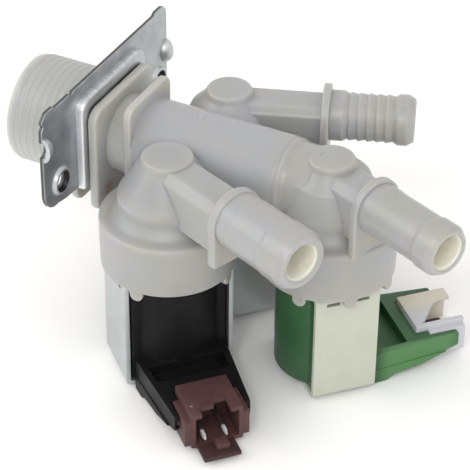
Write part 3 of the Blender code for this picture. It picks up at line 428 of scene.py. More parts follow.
def settle(made, name, look, slot, *nodes):
    """Clean a piece, set its mesh in its place, give it its look and let it ride on the valve."""
    shape = bmesh.new()
    shape.from_mesh(made.data)
    bmesh.ops.remove_doubles(shape, verts=shape.verts, dist=WELD)
    bmesh.ops.dissolve_degenerate(shape, edges=shape.edges, dist=WELD)
    bmesh.ops.dissolve_limit(shape, angle_limit=radians(0.05), verts=shape.verts, edges=shape.edges)
    bmesh.ops.transform(shape, matrix=PLACE, verts=shape.verts)
    shape.to_mesh(made.data)
    shape.free()
    made.name = name
    made.data.name = name
    made.data.materials.clear()
    made.data.materials.append(look)
    made.data.shade_smooth()
    made.data.set_sharp_from_angle(angle=SHARP)
    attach(made, "valve")
    if nodes:
        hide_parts(*nodes)


def aimed(place, direction):
    """A direction of a place's own axes, seen from the valve."""
    return place.to_3x3() @ Vector(direction)


# Surfaces

class Term:
    """A shader socket that takes part in sums."""

    def __init__(self, finish, socket):
        self.finish = finish
        self.socket = socket

    def math(self, operation, first, second):
        """One Math node on two values."""
        return self.finish.node("ShaderNodeMath", {"operation": operation}, {0: first, 1: second})

    def __add__(self, other):
        return self.math("ADD", self, other)

    def __mul__(self, other):
        return self.math("MULTIPLY", self, other)

    def __sub__(self, other):
        return self.math("SUBTRACT", self, other)

    def __rsub__(self, other):
        return self.math("SUBTRACT", other, self)

    __radd__ = __add__
    __rmul__ = __mul__

    def inside(self, inner, outer):
        """One below inner, nothing above outer."""
        return 1.0 - self.steps(inner, outer)

    def steps(self, low, high):
        """Nothing below low, one above high, smooth between."""
        inputs = {"Value": self, "From Min": low, "From Max": high}
        return self.finish.node("ShaderNodeMapRange", {"interpolation_type": "SMOOTHSTEP"}, inputs)


class Finish:
    """A surface built from shader nodes."""

    def __init__(self, name, **constants):
        self.material = bpy.data.materials.new(name)
        self.material.use_nodes = True
        self.tree = self.material.node_tree
        self.shader = self.tree.nodes["Principled BSDF"]
        for socket, value in constants.items():
            self.shader.inputs[socket.replace("_", " ")].default_value = value
        self.place = self.node("ShaderNodeTexCoord", output="Object")

    def node(self, kind, settings=None, inputs=None, output=0):
        """Add a node of a kind, with its settings, the values or links of its sockets, and give an output."""
        made = self.tree.nodes.new(kind)
        for key, value in (settings or {}).items():
            setattr(made, key, value)
        for key, value in (inputs or {}).items():
            self.plug(made.inputs[key], value)
        return Term(self, made.outputs[output])

    def plug(self, socket, value):
        """Link a term to a socket, or write a value on it."""
        if isinstance(value, Term):
            self.tree.links.new(value.socket, socket)
        else:
            socket.default_value = value

    def feed(self, socket, value):
        """Give one of the shader's own sockets its term."""
        self.plug(self.shader.inputs[socket], value)

    def vector(self, operation, *values, output="Vector"):
        """One Vector Math node."""
        return self.node("ShaderNodeVectorMath", {"operation": operation}, dict(enumerate(values)), output)

    def noise(self, per_mm, detail=2.0, stretch=(1.0, 1.0, 1.0)):
        """Soft noise, its grain given per millimetre."""
        scaled = self.vector("MULTIPLY", self.place, tuple(s * per_mm / MM for s in stretch))
        return self.node("ShaderNodeTexNoise", None, {"Vector": scaled, "Scale": 1.0, "Detail": detail})

    def axis(self, letter):
        """One coordinate of the surface, in millimetres round the inlet's axis."""
        apart = self.node("ShaderNodeSeparateXYZ", None, {0: self.place}, letter)
        return apart * (1.0 / MM) - ORIGIN["XYZ".index(letter)]

    def apart(self, point):
        """Way to the surface from a point given in millimetres."""
        return self.vector("SUBTRACT", self.place, (ORIGIN + Vector(point)) * MM)

    def near(self, point, inner, outer):
        """One close to a point given in millimetres, falling to nothing at the outer distance."""
        return self.vector("LENGTH", self.apart(point), output="Value").inside(inner * MM, outer * MM)

    def off_line(self, point, direction):
        """Distance in millimetres from a line through a point given in millimetres."""
        swept = self.vector("CROSS_PRODUCT", self.apart(point), Vector(direction).normalized())
        return self.vector("LENGTH", swept, output="Value") * (1.0 / MM)

    def along_line(self, point, direction):
        """Distance in millimetres along a direction from a point given in millimetres."""
        aim = Vector(direction).normalized()
        return self.vector("DOT_PRODUCT", self.apart(point), aim, output="Value") * (1.0 / MM)

    def tinted(self, base, tints):
        """Base colour under tints, each laid on where all of its (start, aim, low, high) ramps rise."""
        for ramps, tint in tints:
            factor = 1.0
            for start, aim, low, high in ramps:
                factor = self.along_line(start, aim).steps(low, high) * factor
            base = self.mix(factor, base, tint)
        return base

    def mix(self, factor, first, second):
        """Blend two colours."""
        first, second = (c if isinstance(c, Term) else (*c, 1.0) for c in (first, second))
        return self.node("ShaderNodeMix", {"data_type": "RGBA"}, {0: factor, 6: first, 7: second}, 2)

    def bumps(self, height, millimetres, soft_edge=0.0):
        """Raise the surface by a height term, over edges softened by a radius."""
        inputs = {"Height": height, "Distance": millimetres * MM, "Strength": 1.0}
        if soft_edge:
            inputs["Normal"] = self.node("ShaderNodeBevel", {"samples": 6}, {"Radius": soft_edge * MM})
        self.feed("Normal", self.node("ShaderNodeBump", None, inputs))


def toned(paint, factor, lift=0.0):
    """A colour made lighter or darker."""
    return tuple(min(1.0, c * factor + lift) for c in paint)


def nylon_look(settings):
    """Milky natural nylon with random warm and cool patches and a scorch mark, painted warm shade under the
    spout roots, painted light in the bores and on the pad, collar and thread, painted shade on the front cone
    and painted light on the end cone.
    """
    look = Finish("natural_nylon", Subsurface_Weight=settings.milkiness, Subsurface_Radius=(1.0, 0.9, 0.7),
                  Subsurface_Scale=0.004, IOR=1.53)
    cloud = look.noise(0.11, 3.0)
    mould = look.noise(0.9, 4.0)
    fine = look.noise(5.0)
    warmth = cloud.steps(0.45, 0.75) * 0.16
    along, up = look.axis("X"), look.axis("Z")
    off_axis = look.off_line((0, 0, 0), (1, 0, 0))
    glow = off_axis.inside(INLET_BORE_R - 0.4, INLET_BORE_R) * along.inside(INLET_X + 4.0, INLET_X + 5.0)
    for valve in VALVES:
        # Painted warm shade under the spout's root, by the hose stop
        root = valve.outlet() @ Vector((7.0, 0, valve.spout.stop_at + 3.0))
        warmth = warmth + look.near(root, 1.0, 7.0) * 0.35
        start = valve.outlet() @ Vector((0, 0, valve.spout.stop_at + 4.0))
        aim = aimed(valve.outlet(), (0, 0, 1))
        bore = look.off_line(start, aim).inside(valve.spout.bore_r + 0.05, valve.spout.bore_r + 0.5)
        glow = glow + bore * look.along_line(start, aim).steps(0.0, 4.0)
    burnt = look.near((-20.6, -8.6, -10.6), 0.3, 3.4)
    cool = look.noise(0.07).steps(0.40, 0.62)
    base = look.mix(cool * 0.6, settings.nylon, settings.cool)
    thread = along.inside(-30.0, -26.0)
    under = up.inside(-10.0, 4.0)
    pad = along.inside(-16.6, -16.2)
    collar = (along.inside(-12.8, -12.4) - pad) * up.steps(-7.2, -6.8)
    tube = off_axis.inside(11.0, 13.0) * along.inside(18.0, 26.0) * along.steps(-16.0, -12.0)
    base = look.mix(tube * 0.7, base, settings.cool)
    # Painted light: the pad, the collar and the thread lifted towards the bloom colour, most on the thread's
    # underside
    base = look.mix((pad + collar) * 0.3 + thread * (0.12 + under * 0.8), base, settings.bloom)
    # Painted shade on the front cone and painted light on the end cone
    for valve, tone in ((FRONT, settings.front_cone_shade), (END, settings.end_cone_light)):
        base = look.mix(look.near(valve.axis + Vector((0, 0, -2.5)), 9.5, 12.0) * 0.55, base, tone)
    # Random warm patches and the painted warm shade under the spout roots
    base = look.mix(warmth, base, settings.warm)
    base = look.mix(glow * 0.8, base, settings.inside)
    base = look.mix(burnt * 0.7, base, settings.scorch)
    look.feed("Base Color", base)
    look.feed("Roughness", 0.27 + mould * 0.14)
    look.bumps(fine * 0.2 + mould, 0.05, 0.45)
    return look.material


def bracket_look(settings):
    """Blue-grey plating with brushed streaks, random brighter patches, painted highlight on the rib walls,
    painted reflection towards the far end, painted shade in the screw holes and dark cut edges.
    """
    look = Finish("blue_zinc_plating", Metallic=0.92)
    cloud = look.noise(0.16, 4.0)
    streak = look.noise(1.0, 3.0, (0.6, 0.5, 5.0))
    fine = look.noise(6.0)
    across = look.axis("X")
    flank = across.steps(BRACKET_X + 0.05, BRACKET_X + 0.35)
    crest = across.steps(BRACKET_X + RIB_RISE - 0.3, BRACKET_X + RIB_RISE - 0.05)
    side, up = look.axis("Y"), look.axis("Z")
    ribbed = side.steps(-RIB_FAR - 0.5, -RIB_FAR - 0.1) * side.inside(RIB_FAR + 0.1, RIB_FAR + 0.5)
    ribbed = ribbed * 0.6 + 0.4
    # Painted highlight on the raised rib walls, weaker on the crests, the cross rib and outside the ribs
    bright_patches_and_sheen = (flank - crest * 0.5) * (0.6 + streak * 0.6) * ribbed * (1.0 - up.steps(11.0, 12.5) * 0.3)
    coined = look.noise(1.0, 2.0, (0.2, 3.0, 0.2)).steps(0.45, 0.6) * flank
    coined = coined * up.steps(RIB_TOP - 0.8, RIB_TOP - 0.4)
    back = BRACKET_X - SHEET
    edge = across.inside(BRACKET_X - 0.3, BRACKET_X - 0.1) * across.steps(back, back + 0.1)
    # Painted reflection: the plating turns lighter towards the far end
    plating = look.mix(side.steps(4.0, 26.0), settings.plating, settings.pale)
    # Random brighter patches, then the painted highlight on the rib walls
    base = look.mix(cloud.steps(0.3, 0.75) * 0.3, plating, settings.bright_patches_and_sheen)
    base = look.mix(bright_patches_and_sheen, base, settings.bright_patches_and_sheen)
    base = look.mix(coined * 0.5, base, settings.plating)
    # Painted shade inside the screw holes
    near, far = (look.off_line((0, y, z), (1, 0, 0)).inside(SCREW_BORE_R + 0.1, SCREW_BORE_R + 0.3)
                 for y, z in SCREW_PLACES)
    base = look.mix((near + far) * (1.2 - streak * 0.5), base, settings.hole)
    look.feed("Base Color", look.mix(edge, base, settings.edge))
    look.feed("Roughness", 0.30 + cloud * 0.2 + fine * 0.08)
    look.bumps(streak * 0.5 + fine * 0.25 + cloud, 0.05, 0.2)
    return look.material


def yoke_look(name, paint, metallic, roughness):
    """Coated strip with faint rolling marks and small specks."""
    look = Finish(name, Metallic=metallic)
    cloud = look.noise(0.13, 4.0)
    rolled = look.noise(0.8, 3.0, (1.0, 1.0, 0.12))
    speck = look.noise(1.4).steps(0.70, 0.78)
    base = look.mix(cloud.steps(0.35, 0.8) * 0.6, paint, toned(paint, 0.86))
    look.feed("Base Color", look.mix(speck * 0.35, base, toned(paint, 0.5)))
    look.feed("Roughness", roughness + cloud * 0.12)
    look.bumps(rolled + cloud * 0.5, 0.04, 0.2)
    return look.material


def moulded_look(name, paint, roughness, grain=0.03, tint=0.8, streaks=0.25, gloss=0.5, dots=(), tints=()):
    """Moulded plastic with a fine grain, slight flow marks, small pale dots and tinted sides."""
    look = Finish(name, IOR=1.5, Specular_IOR_Level=gloss)
    flow = look.noise(0.1, 4.0)
    fine = look.noise(4.5, 3.0)
    mark = look.noise(0.5).steps(0.58, 0.8)
    base = look.mix(flow.steps(0.35, 0.75), paint, toned(paint, tint))
    base = look.mix(mark * streaks, base, toned(paint, 1.6, 0.01))
    base = look.tinted(base, tints)
    for point in dots:
        base = look.mix(look.near(point, 0.25, 0.5) * 0.8, base, toned(paint, 2.5, 0.05))
    look.feed("Base Color", base)
    look.feed("Roughness", roughness - 0.08 + flow * 0.18 + fine * 0.06)
    look.bumps(fine + mark * 0.4, grain, 0.25)
    return look.material


def metal_look(name, paint, roughness, stretch=(1.0, 1.0, 1.0), metallic=1.0, tints=()):
    """Bare metal with drawing marks, and tints laid on by place, such as painted shade on the pins' roots."""
    look = Finish(name, Metallic=metallic)
    marks = look.noise(3.0, 3.0, stretch)
    look.feed("Base Color", look.tinted(look.mix(marks, paint, toned(paint, 0.8)), tints))
    look.feed("Roughness", roughness + marks * 0.15)
    look.bumps(marks, 0.02)
    return look.material


def dress(node, look):
    """Give a carried-over CAD piece its finish."""
    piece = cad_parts[node]
    for place in piece.material_slots:
        place.link = "OBJECT"
        place.material = look


# Geometry trees for what repeats

def tree(name, sizes, counts):
    """A new geometry tree with named inputs, a function that adds nodes and one that closes the tree."""
    made = bpy.data.node_groups.new(name, "GeometryNodeTree")
    kinds = {"NodeSocketFloat": sizes, "NodeSocketInt": counts, "NodeSocketMaterial": ["Look"]}
    for kind, labels in kinds.items():
        for label in labels:
            made.interface.new_socket(label, in_out="INPUT", socket_type=kind)
    made.interface.new_socket("Geometry", in_out="OUTPUT", socket_type="NodeSocketGeometry")
    source = made.nodes.new("NodeGroupInput")

    def node(kind, links, settings=None):
        """Add a node and give its first output; a text given to a socket names an input of the tree."""
        new = made.nodes.new(kind)
        for key, value in (settings or {}).items():
            setattr(new, key, value)
        for key, value in links.items():
            if isinstance(value, str):
                value = source.outputs[value]
            if isinstance(value, bpy.types.NodeSocket):
                made.links.new(value, new.inputs[key])
            else:
                new.inputs[key].default_value = value
        return next(iter(new.outputs), None)

    def close(geometry):
        """Turn instances into a mesh of their own, give it the look and end the tree."""
        real = node("GeometryNodeRealizeInstances", {"Geometry": geometry})
        look = node("GeometryNodeSetMaterial", {"Geometry": real, "Material": "Look"})
        node("NodeGroupOutput", {"Geometry": look})
        return made

    return node, close


def wire_round(node, line, sides):
    """Give a line the thickness of the tree's wire."""
    ring = node("GeometryNodeCurvePrimitiveCircle", {"Resolution": sides, "Radius": "Wire"})
    return node("GeometryNodeCurveToMesh", {"Curve": line, "Profile Curve": ring, "Fill Caps": True})


def helix_tree(name):
    """A round wire wound on a helix: thread ridges and springs."""
    node, close = tree(name, ("Radius", "Turns", "Rise", "Wire"), ("Steps", "Sides"))
    spiral = node("GeometryNodeCurveSpiral", {
        "Resolution": "Steps", "Rotations": "Turns", "Start Radius": "Radius", "End Radius": "Radius",
        "Height": "Rise"})
    return close(wire_round(node, spiral, "Sides"))


def row_tree(name):
    """Short round-nosed bars in a row, as coined ridges."""
    node, close = tree(name, ("Pitch", "Half Length", "Thickness"), ("Count",))
    stride = node("ShaderNodeCombineXYZ", {0: "Pitch"})
    line = node("GeometryNodeMeshLine", {"Count": "Count", "Offset": stride})
    size = node("ShaderNodeCombineXYZ", {0: "Thickness", 1: "Half Length", 2: "Thickness"})
    bar = node("GeometryNodeMeshUVSphere", {"Segments": 10, "Rings": 8, "Radius": 1.0})
    return close(node("GeometryNodeInstanceOnPoints", {"Points": line, "Instance": bar, "Scale": size}))


def net_tree(name):
    """A conical net of thin wires."""
    node, close = tree(name, ("Top Radius", "Bottom Radius", "Depth", "Wire"), ("Strands", "Rows"))
    cone = node("GeometryNodeMeshCone", {
        "Vertices": "Strands", "Side Segments": "Rows", "Radius Top": "Top Radius",
        "Radius Bottom": "Bottom Radius", "Depth": "Depth"}, {"fill_type": "NONE"})
    return close(wire_round(node, node("GeometryNodeMeshToCurve", {"Mesh": cone}), 4))


def grown(made, values, name, place):
    """Run a geometry tree with its inputs set by identifier, and settle the result as a plain piece."""
    carrier = bpy.data.objects.new(name, bpy.data.meshes.new(name))
    bpy.context.scene.collection.objects.link(carrier)
    run = carrier.modifiers.new("pattern", "NODES")
    run.node_group = made
    for item in made.interface.items_tree:
        if item.in_out == "INPUT":
            run[item.identifier] = values[item.name]
    graph = bpy.context.evaluated_depsgraph_get()
    mesh = bpy.data.meshes.new_from_object(carrier.evaluated_get(graph))
    carrier.modifiers.clear()
    carrier.data = mesh
    mesh.transform(place)
    mesh.transform(PLACE)
    mesh.shade_smooth()
    mesh.set_sharp_from_angle(angle=SHARP_GROWN)
    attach(carrier, "valve")
    return carrier


# Nylon body

def inlet_and_manifold(settings):
    """Thread core, rear flange, neck, pad, collar and manifold tube with its closing ridges."""
    flange_front = BRACKET_X - SHEET - GAP
    flange_back = flange_front - 1.8
    pad_back = BRACKET_X + RIB_RISE + GAP
    core = settings.thread_radius / MM - settings.thread_depth / MM
    barrel = turned([
        (0, INLET_X), (core - 0.3, INLET_X, 0.3), (core, INLET_X + 1.4, 0.5), (core, -28.7, 0.4),
        (11.8, -28.4, 0.3), (11.8, flange_back + LAP), (NECK_R, flange_back + LAP),
        (NECK_R, pad_back + LAP), (9.4, pad_back + LAP), (9.4, -14.4), (10.2, -14.4),
        (10.2, 22.9, 0.8), (9.95, 23.5, 0.4), (10.15, 24.3, 0.4), (9.8, 24.9, 0.4), (9.5, 26.0, 0.7),
        (9.5, 31.4), (0, 31.4),
    ], ALONG_X)
    outline = rounded_box((-13.3, 13.3), (-14.6, 12.4), 3.2)
    plates = [prism(outline, flange_back, flange_front, FACING_X, 0.4)]
    outline = [(13.8, 12.4, 3.4), (-13.8, 12.4, 3.4), (-13.8, -15.0, 2.2), (13.8, -15.0, 2.2)]
    plates.append(prism(outline, pad_back, -19.7, FACING_X, 0.5))
    outline = rounded_box((-10.0, 10.0), (-9.4, 12.9), 2.8)
    plates.append(prism(outline, -14.75, -12.8, FACING_X, 0.45))
    dot = turned([(0, 9.4), (0.9, 9.4), (0.8, 10.45, 0.2), (0, 10.45)], Matrix.Translation((0.5, 0, 0)), 24)
    return add(barrel, *plates, dot)


def tower(valve):
    """The capped cone, its hollow shoulder and the chamber ring below it."""
    return turned([
        (0, valve.cap_z),
        (valve.cap_r, valve.cap_z, 0.7),
        (valve.cap_r + 0.55, valve.cap_z - 1.6, 1.2),
        (valve.waist_r, valve.waist_z, 1.0),
        (11.75, -1.4, 2.5),
        (11.45, -4.1, 1.6),
        (13.2, -6.7, 2.2),
        (RING_R, RING_TOP - 0.1, 1.0),
        (RING_R - 0.2, RING_BOTTOM, 0.35),
        (0, RING_BOTTOM),
    ], valve.upright())


def ring_lug(valve, turn):
    """Half-round tab that hangs below the chamber ring."""
    outline = arc((0, RING_BOTTOM - 0.8), 1.6, 180, 360, 14)
    outline += [(1.6, RING_BOTTOM + PAST), (-1.6, RING_BOTTOM + PAST)]
    place = valve.upright() @ Matrix.Rotation(radians(turn), 4, "Z") @ FACING_X
    return prism(outline, RING_R - 1.5, RING_R - 0.25, place, 0.25)


def duct(valve):
    """Flat-topped duct from the tower to the hose stop, with bevelled shoulders."""
    half = [(-3.9, -3.5, 0.9), (-2.1, -5.35, 0.9), (8.0, -5.35)]
    return prism(mirrored(half), 0, valve.spout.stop_at + LAP, valve.outlet())


def hose_stop(valve):
    """Arched plate that the hose is pushed against, square at its foot."""
    spout = valve.spout
    foot = OUTLET_Z - spout.stop_foot
    outline = arc((0, 0), spout.stop_half, 90, 270, 32)
    outline += [(foot, -spout.stop_half, 0.7), (foot, spout.stop_half, 0.7)]
    return prism(outline, spout.stop_at, spout.stop_at + spout.stop_thick, valve.outlet(), 0.4)


def spout_shape(valve):
    """Hose spout with an end barrel and a bevelled mouth, and barbs where it has them."""
    spout = valve.spout
    start = spout.stop_at + LAP
    collar = start + 4.6
    run = collar + 1.3
    barrel = spout.tip - spout.barrel
    profile = [(0, start), (spout.root_r, start), (spout.root_r, collar, 0.3), (spout.run_r, run, 0.3)]
    for k in range(spout.barbs):
        pitch = (barrel - run) / spout.barbs
        profile.append((spout.barb_r, run + pitch * (k + 0.15), 0.15))
        profile.append((spout.run_r, run + pitch * (k + 0.95), 0.15))
    if not spout.barbs:
        profile.append((spout.run_r, barrel, 0.5))
    profile += [(spout.barrel_r, barrel + 0.9, 0.5), (spout.barrel_r, spout.tip - 1.7, 0.8)]
    profile += [(spout.barrel_r - 1.0, spout.tip, 0.5), (0, spout.tip)]
    return turned(profile, valve.outlet(), TUBE_ROUND)


def chamber_way(valve):
    """Bore for the diaphragm's bead, chamber, and the ring-shaped space round the seat."""
    below = RING_BOTTOM - PAST
    return turned([
        (0, below), (14.4, below), (14.4, -14.6), (12.4, -14.6), (12.4, -9.6, 0.4), (9.3, -9.6),
        (9.3, -2.6, 0.4), (5.6, -2.6, 0.4), (5.6, SEAT_Z), (0, SEAT_Z)], valve.upright(), TUBE_ROUND)


def inlet_way():
    """Wide inlet bore with a step, then the manifold bore."""
    return turned([
        (0, INLET_X - PAST), (INLET_BORE_R + 1.6, INLET_X - PAST), (INLET_BORE_R, INLET_X + 0.6),
        (INLET_BORE_R, INLET_STEP_X), (MANIFOLD_BORE_R, INLET_STEP_X),
        (MANIFOLD_BORE_R, MANIFOLD_STOP_X, 1.0), (0, MANIFOLD_STOP_X)], ALONG_X, TUBE_ROUND)


def port_way(valve, turn, reach):
    """Round passage from the manifold into the space round the seat."""
    aim = Matrix.Rotation(radians(turn), 4, "Z") @ ALONG_X
    return rod(PORT_R, 6.8, reach, Matrix.Translation(valve.axis + Vector((0, 0, PORT_Z))) @ aim, 32)


def outlet_way(valve):
    """Way from the seat up into the tower and out through the spout."""
    spout = valve.spout
    widening = spout.stop_at + spout.stop_thick
    bore, tip = spout.bore_r, spout.tip
    mouth = turned([
        (0, 0), (SEAT_WAY_R, 0), (SEAT_WAY_R, widening), (bore, widening + 2.0), (bore, tip - 0.7, 0.6),
        (bore + 0.8, tip + 0.1), (bore + 0.8, tip + PAST), (0, tip + PAST),
    ], valve.outlet(), TUBE_ROUND)
    return add(mouth, rod(SEAT_WAY_R, SEAT_Z - PAST, OUTLET_Z + 2.0, valve.upright()))


def make_body(settings):
    """The one-piece nylon body with its water ways, and the ridges of its thread."""
    look = nylon_look(settings)
    made = inlet_and_manifold(settings)
    outside = []
    for valve in VALVES:
        outside += [tower(valve), duct(valve), hose_stop(valve), spout_shape(valve)]
        outside += [ring_lug(valve, turn) for turn in valve.lugs]
    add(made, *outside)
    inside = [chamber_way(valve) for valve in VALVES] + [inlet_way()]
    inside += [port_way(FRONT, 90, 13.5), port_way(BACK, -90, 13.5), port_way(END, 180, 13.9)]
    inside += [outlet_way(valve) for valve in VALVES]
    cut(made, *inside)
    solids = ["inlet_barrel", "manifold"]
    solids += [valve.name + part for valve in VALVES for part in ("_tower", "_spout")]
    settle(made, "nylon_body", look, "nylon", *solids)
    pitch = settings.thread_pitch / MM
    turns = 8.0
    wire = 1.2
    values = {"Radius": settings.thread_radius / MM - wire, "Turns": turns, "Rise": turns * pitch,
              "Wire": wire, "Steps": 96, "Sides": 24, "Look": look}
    grown(helix_tree("thread_ridge"), values, "thread_ridges",
          Matrix.Translation((INLET_X + 1.3, 0, 0)) @ ALONG_X)


# Bracket

def bracket_outline():
    """Plate outline in (y, z): stepped top edge, a lobe at each lower corner, a slot for the neck."""
    half, top, top_low = PLATE_HALF, 18.95, 18.25
    slot_r = NECK_R + GAP
    right = [(slot_r, -9.0), (20.3, -8.3, 1.0)]
    right += arc((24.3, -2.6), 5.0, 262, 360, 12)
    right += arc((half - 2.6, top - 2.6), 2.6, 0, 90, 8)
    right += [(24.1, top, 0.3), (23.1, top_low, 0.3)]
    left = [(-slot_r, -9.0), (-20.3, -8.3, 1.0)]
    left += arc((-24.3, -2.6), 5.0, 278, 180, 12)
    left += [(-half, 15.0, 0.4), (-28.4, 16.0, 0.3), (-29.2, 17.1, 0.4), (-27.2, top, 0.6)]
    left += [(-23.8, top, 0.3), (-23.3, top_low - 0.5, 0.2), (-22.6, top_low, 0.2)]
    left += [(-16.7, top_low), (-16.4, top_low - 0.6, 0.2), (-15.6, top_low - 0.6, 0.2), (-15.3, top_low)]
    return right + left[::-1] + arc((0, 0), slot_r, 180, 0, 32)


def rib_outline(inset=0.0):
    """Outline of the pressed rib, a cross bar that turns down at both ends, drawn in by an inset."""
    far, near = RIB_FAR - inset, 11.5 + inset
    top, under, foot = RIB_TOP - inset, 11.8 + inset, -8.6 + inset
    outside, bend = 3.2 - inset, 0.9 + inset
    outline = [(near, foot), (far, foot)]
    outline += arc((far - outside, top - outside), outside, 0, 90, 10)
    outline += arc((outside - far, top - outside), outside, 90, 180, 10)
    outline += [(-far, foot), (-near, foot)]
    outline += arc((bend - near, under - bend), bend, 180, 90, 6)
    outline += arc((near - bend, under - bend), bend, 90, 0, 6)
    return outline


def dimple(side, z, radius, low, high):
    """Round-topped bulge centred on the plate's side edge, or the hollow behind it."""
    place = Matrix.Translation((0, side * PLATE_HALF, z)) @ ALONG_X
    rise = high - BRACKET_X
    shoulder = [(radius * cos(k * pi / 24), BRACKET_X + rise * sin(k * pi / 24)) for k in range(12)]
    return turned([(0, low), (radius, low)] + shoulder + [(0, high)], place, 48)


def screw_collar(place, low):
    """Collar drawn out of the sheet round a screw hole, flared at its foot."""
    face = BRACKET_X
    return turned([(0, low), (4.1, low), (4.1, face + 0.02), (3.5, face + 0.15, 0.5), (3.1, face + 1.1, 0.2),
                   (0, face + 1.1)], place, 48)


def make_bracket(settings):
    """Plated sheet with a slot for the neck, pressed ribs, dimples at the side edges and drawn collars."""
    look = bracket_look(settings)
    sheet = settings.sheet / MM
    rise = settings.rib_rise / MM
    wall = 0.8
    face = BRACKET_X
    back = face - sheet
    made = prism(bracket_outline(), back, face, FACING_X, 0.18)
    outer = [prism(rib_outline(), face - LAP, face + rise, FACING_X, wall, (False, True))]
    inner = [prism(rib_outline(wall), back - LAP, face + rise - wall, FACING_X, 0.3, (False, True))]
    bulge, bulge_r = 1.9, 3.1
    for side, z in ((-1, 10.0), (1, 5.9)):
        dome = dimple(side, z, bulge_r, face - LAP, face + bulge)
        beyond = sorted((side * (PLATE_HALF - 0.05), side * 36))
        cut(dome, block((back - PAST, face + 3), beyond, (z - 6, z + 6)))
        outer.append(dome)
        inner.append(dimple(side, z, bulge_r - sheet, back - LAP, face + bulge - sheet))
    places = [Matrix.Translation((0, y, z)) @ ALONG_X for y, z in SCREW_PLACES]
    outer += [screw_collar(place, face - LAP) for place in places]
    inner += [rod(SCREW_BORE_R, back - LAP, face + 2.0, place, 48) for place in places]
    add(made, *outer)
    cut(made, *inner)
    settle(made, "bracket_plate", look, "zinc", "mounting_bracket")
    values = {"Count": 30, "Pitch": 0.85, "Half Length": 0.65, "Thickness": 0.12, "Look": look}
    across = Matrix(((0, 1, 0, face + rise / 2), (-1, 0, 0, 12.3), (0, 0, 1, RIB_TOP - 0.02), (0, 0, 0, 1)))
    grown(row_tree("coined_ridges"), values, "rib_coining", across)
    values = {"Radius": SCREW_BORE_R, "Turns": 2.6, "Rise": 1.56, "Wire": 0.16, "Steps": 32, "Sides": 6,
              "Look": look}
    for number, place in enumerate(places):
        start = place @ Matrix.Translation((0, 0, face - 0.7))
        grown(helix_tree(f"screw_thread_{number}"), values, f"screw_thread_{number}", start)


# Strainer and regulator

def make_strainer(settings):
    """Cup-shaped strainer cage with a fine net, the regulator behind it and the finish of all rubber."""
    look = moulded_look("strainer_plastic_look", settings.plastic, 0.45)
    rubber = moulded_look("rubber_look", settings.rubber, 0.7, 0.05)
    mouth = INLET_X + 1.5
    end = INLET_STEP_X - 5.6
    rim_r = INLET_BORE_R - GAP
    wall = 0.9
    cage = turned([
        (rim_r - 1.4, mouth, 0.2), (rim_r, mouth, 0.3), (rim_r, mouth + 2.2, 0.3), (rim_r - 1.0, mouth + 2.6),
        (rim_r - 3.0, end, 0.5), (0, end), (0, end - wall), (rim_r - 3.0 - wall, end - wall, 0.4),
        (rim_r - 1.0 - wall, mouth + 2.4)], ALONG_X, TUBE_ROUND)
    windows = []
    for k in range(6):
        turn = Matrix.Rotation(2 * pi * (k + 0.5) / 6, 4, "X")
        windows.append(block((mouth + 3.4, end - 1.6), (-2.9, 2.9), (4.0, INLET_BORE_R), turn, 0.4))
    cut(cage, *windows)
    settle(cage, "strainer_cage", look, "strainer_plastic", "inlet_strainer")
    values = {"Top Radius": rim_r - 3.4, "Bottom Radius": rim_r - 1.45, "Depth": end - mouth - 3.4,
              "Strands": 60, "Rows": 10, "Wire": settings.wire / MM / 2, "Look": look}
    net_place = Matrix.Translation((mouth + 2.7, 0, 0)) @ ALONG_X
    grown(net_tree("strainer_net"), values, "strainer_mesh", net_place)
    dress("regulator_holder", look)
    dress("regulator_ring", rubber)
    for valve in VALVES:
        dress(valve.name + "_diaphragm", rubber)
        dress(valve.name + "_plunger_seal", rubber)


# Works inside each valve

def make_works(settings):
    """Steel, plastic and springs inside the valves."""
    steel = metal_look("turned_steel", settings.steel, 0.28, (1.0, 1.0, 6.0))
    wire = metal_look("spring_steel", settings.steel, 0.22)
    plastic = moulded_look("guide_plastic_look", toned(settings.plastic, 0.85), 0.4)
    for valve in VALVES:
        for part in ("plunger", "upper_pole_sleeve", "lower_pole_sleeve"):
            dress(f"{valve.name}_{part}", steel)
        for part in ("guide_tube", "diaphragm_insert"):
            dress(f"{valve.name}_{part}", plastic)
        spring = valve.name + "_plunger_spring"
        low, high = (corner.z / MM - ORIGIN.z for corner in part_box(spring))
        thick = 0.28
        values = {"Radius": 2.3, "Turns": 6.5, "Rise": high - low - 2 * thick, "Wire": thick,
                  "Steps": 32, "Sides": 8, "Look": wire}
        place = Matrix.Translation(valve.axis + Vector((0, 0, low + thick)))
        name = valve.name + "_return_spring"
        piece = grown(helix_tree(spring + "_coil"), values, name, place)
        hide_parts(spring)
        anchor = (ORIGIN + valve.axis + Vector((0, 0, low))) * MM
        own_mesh(piece)


# Yokes, coils and sockets

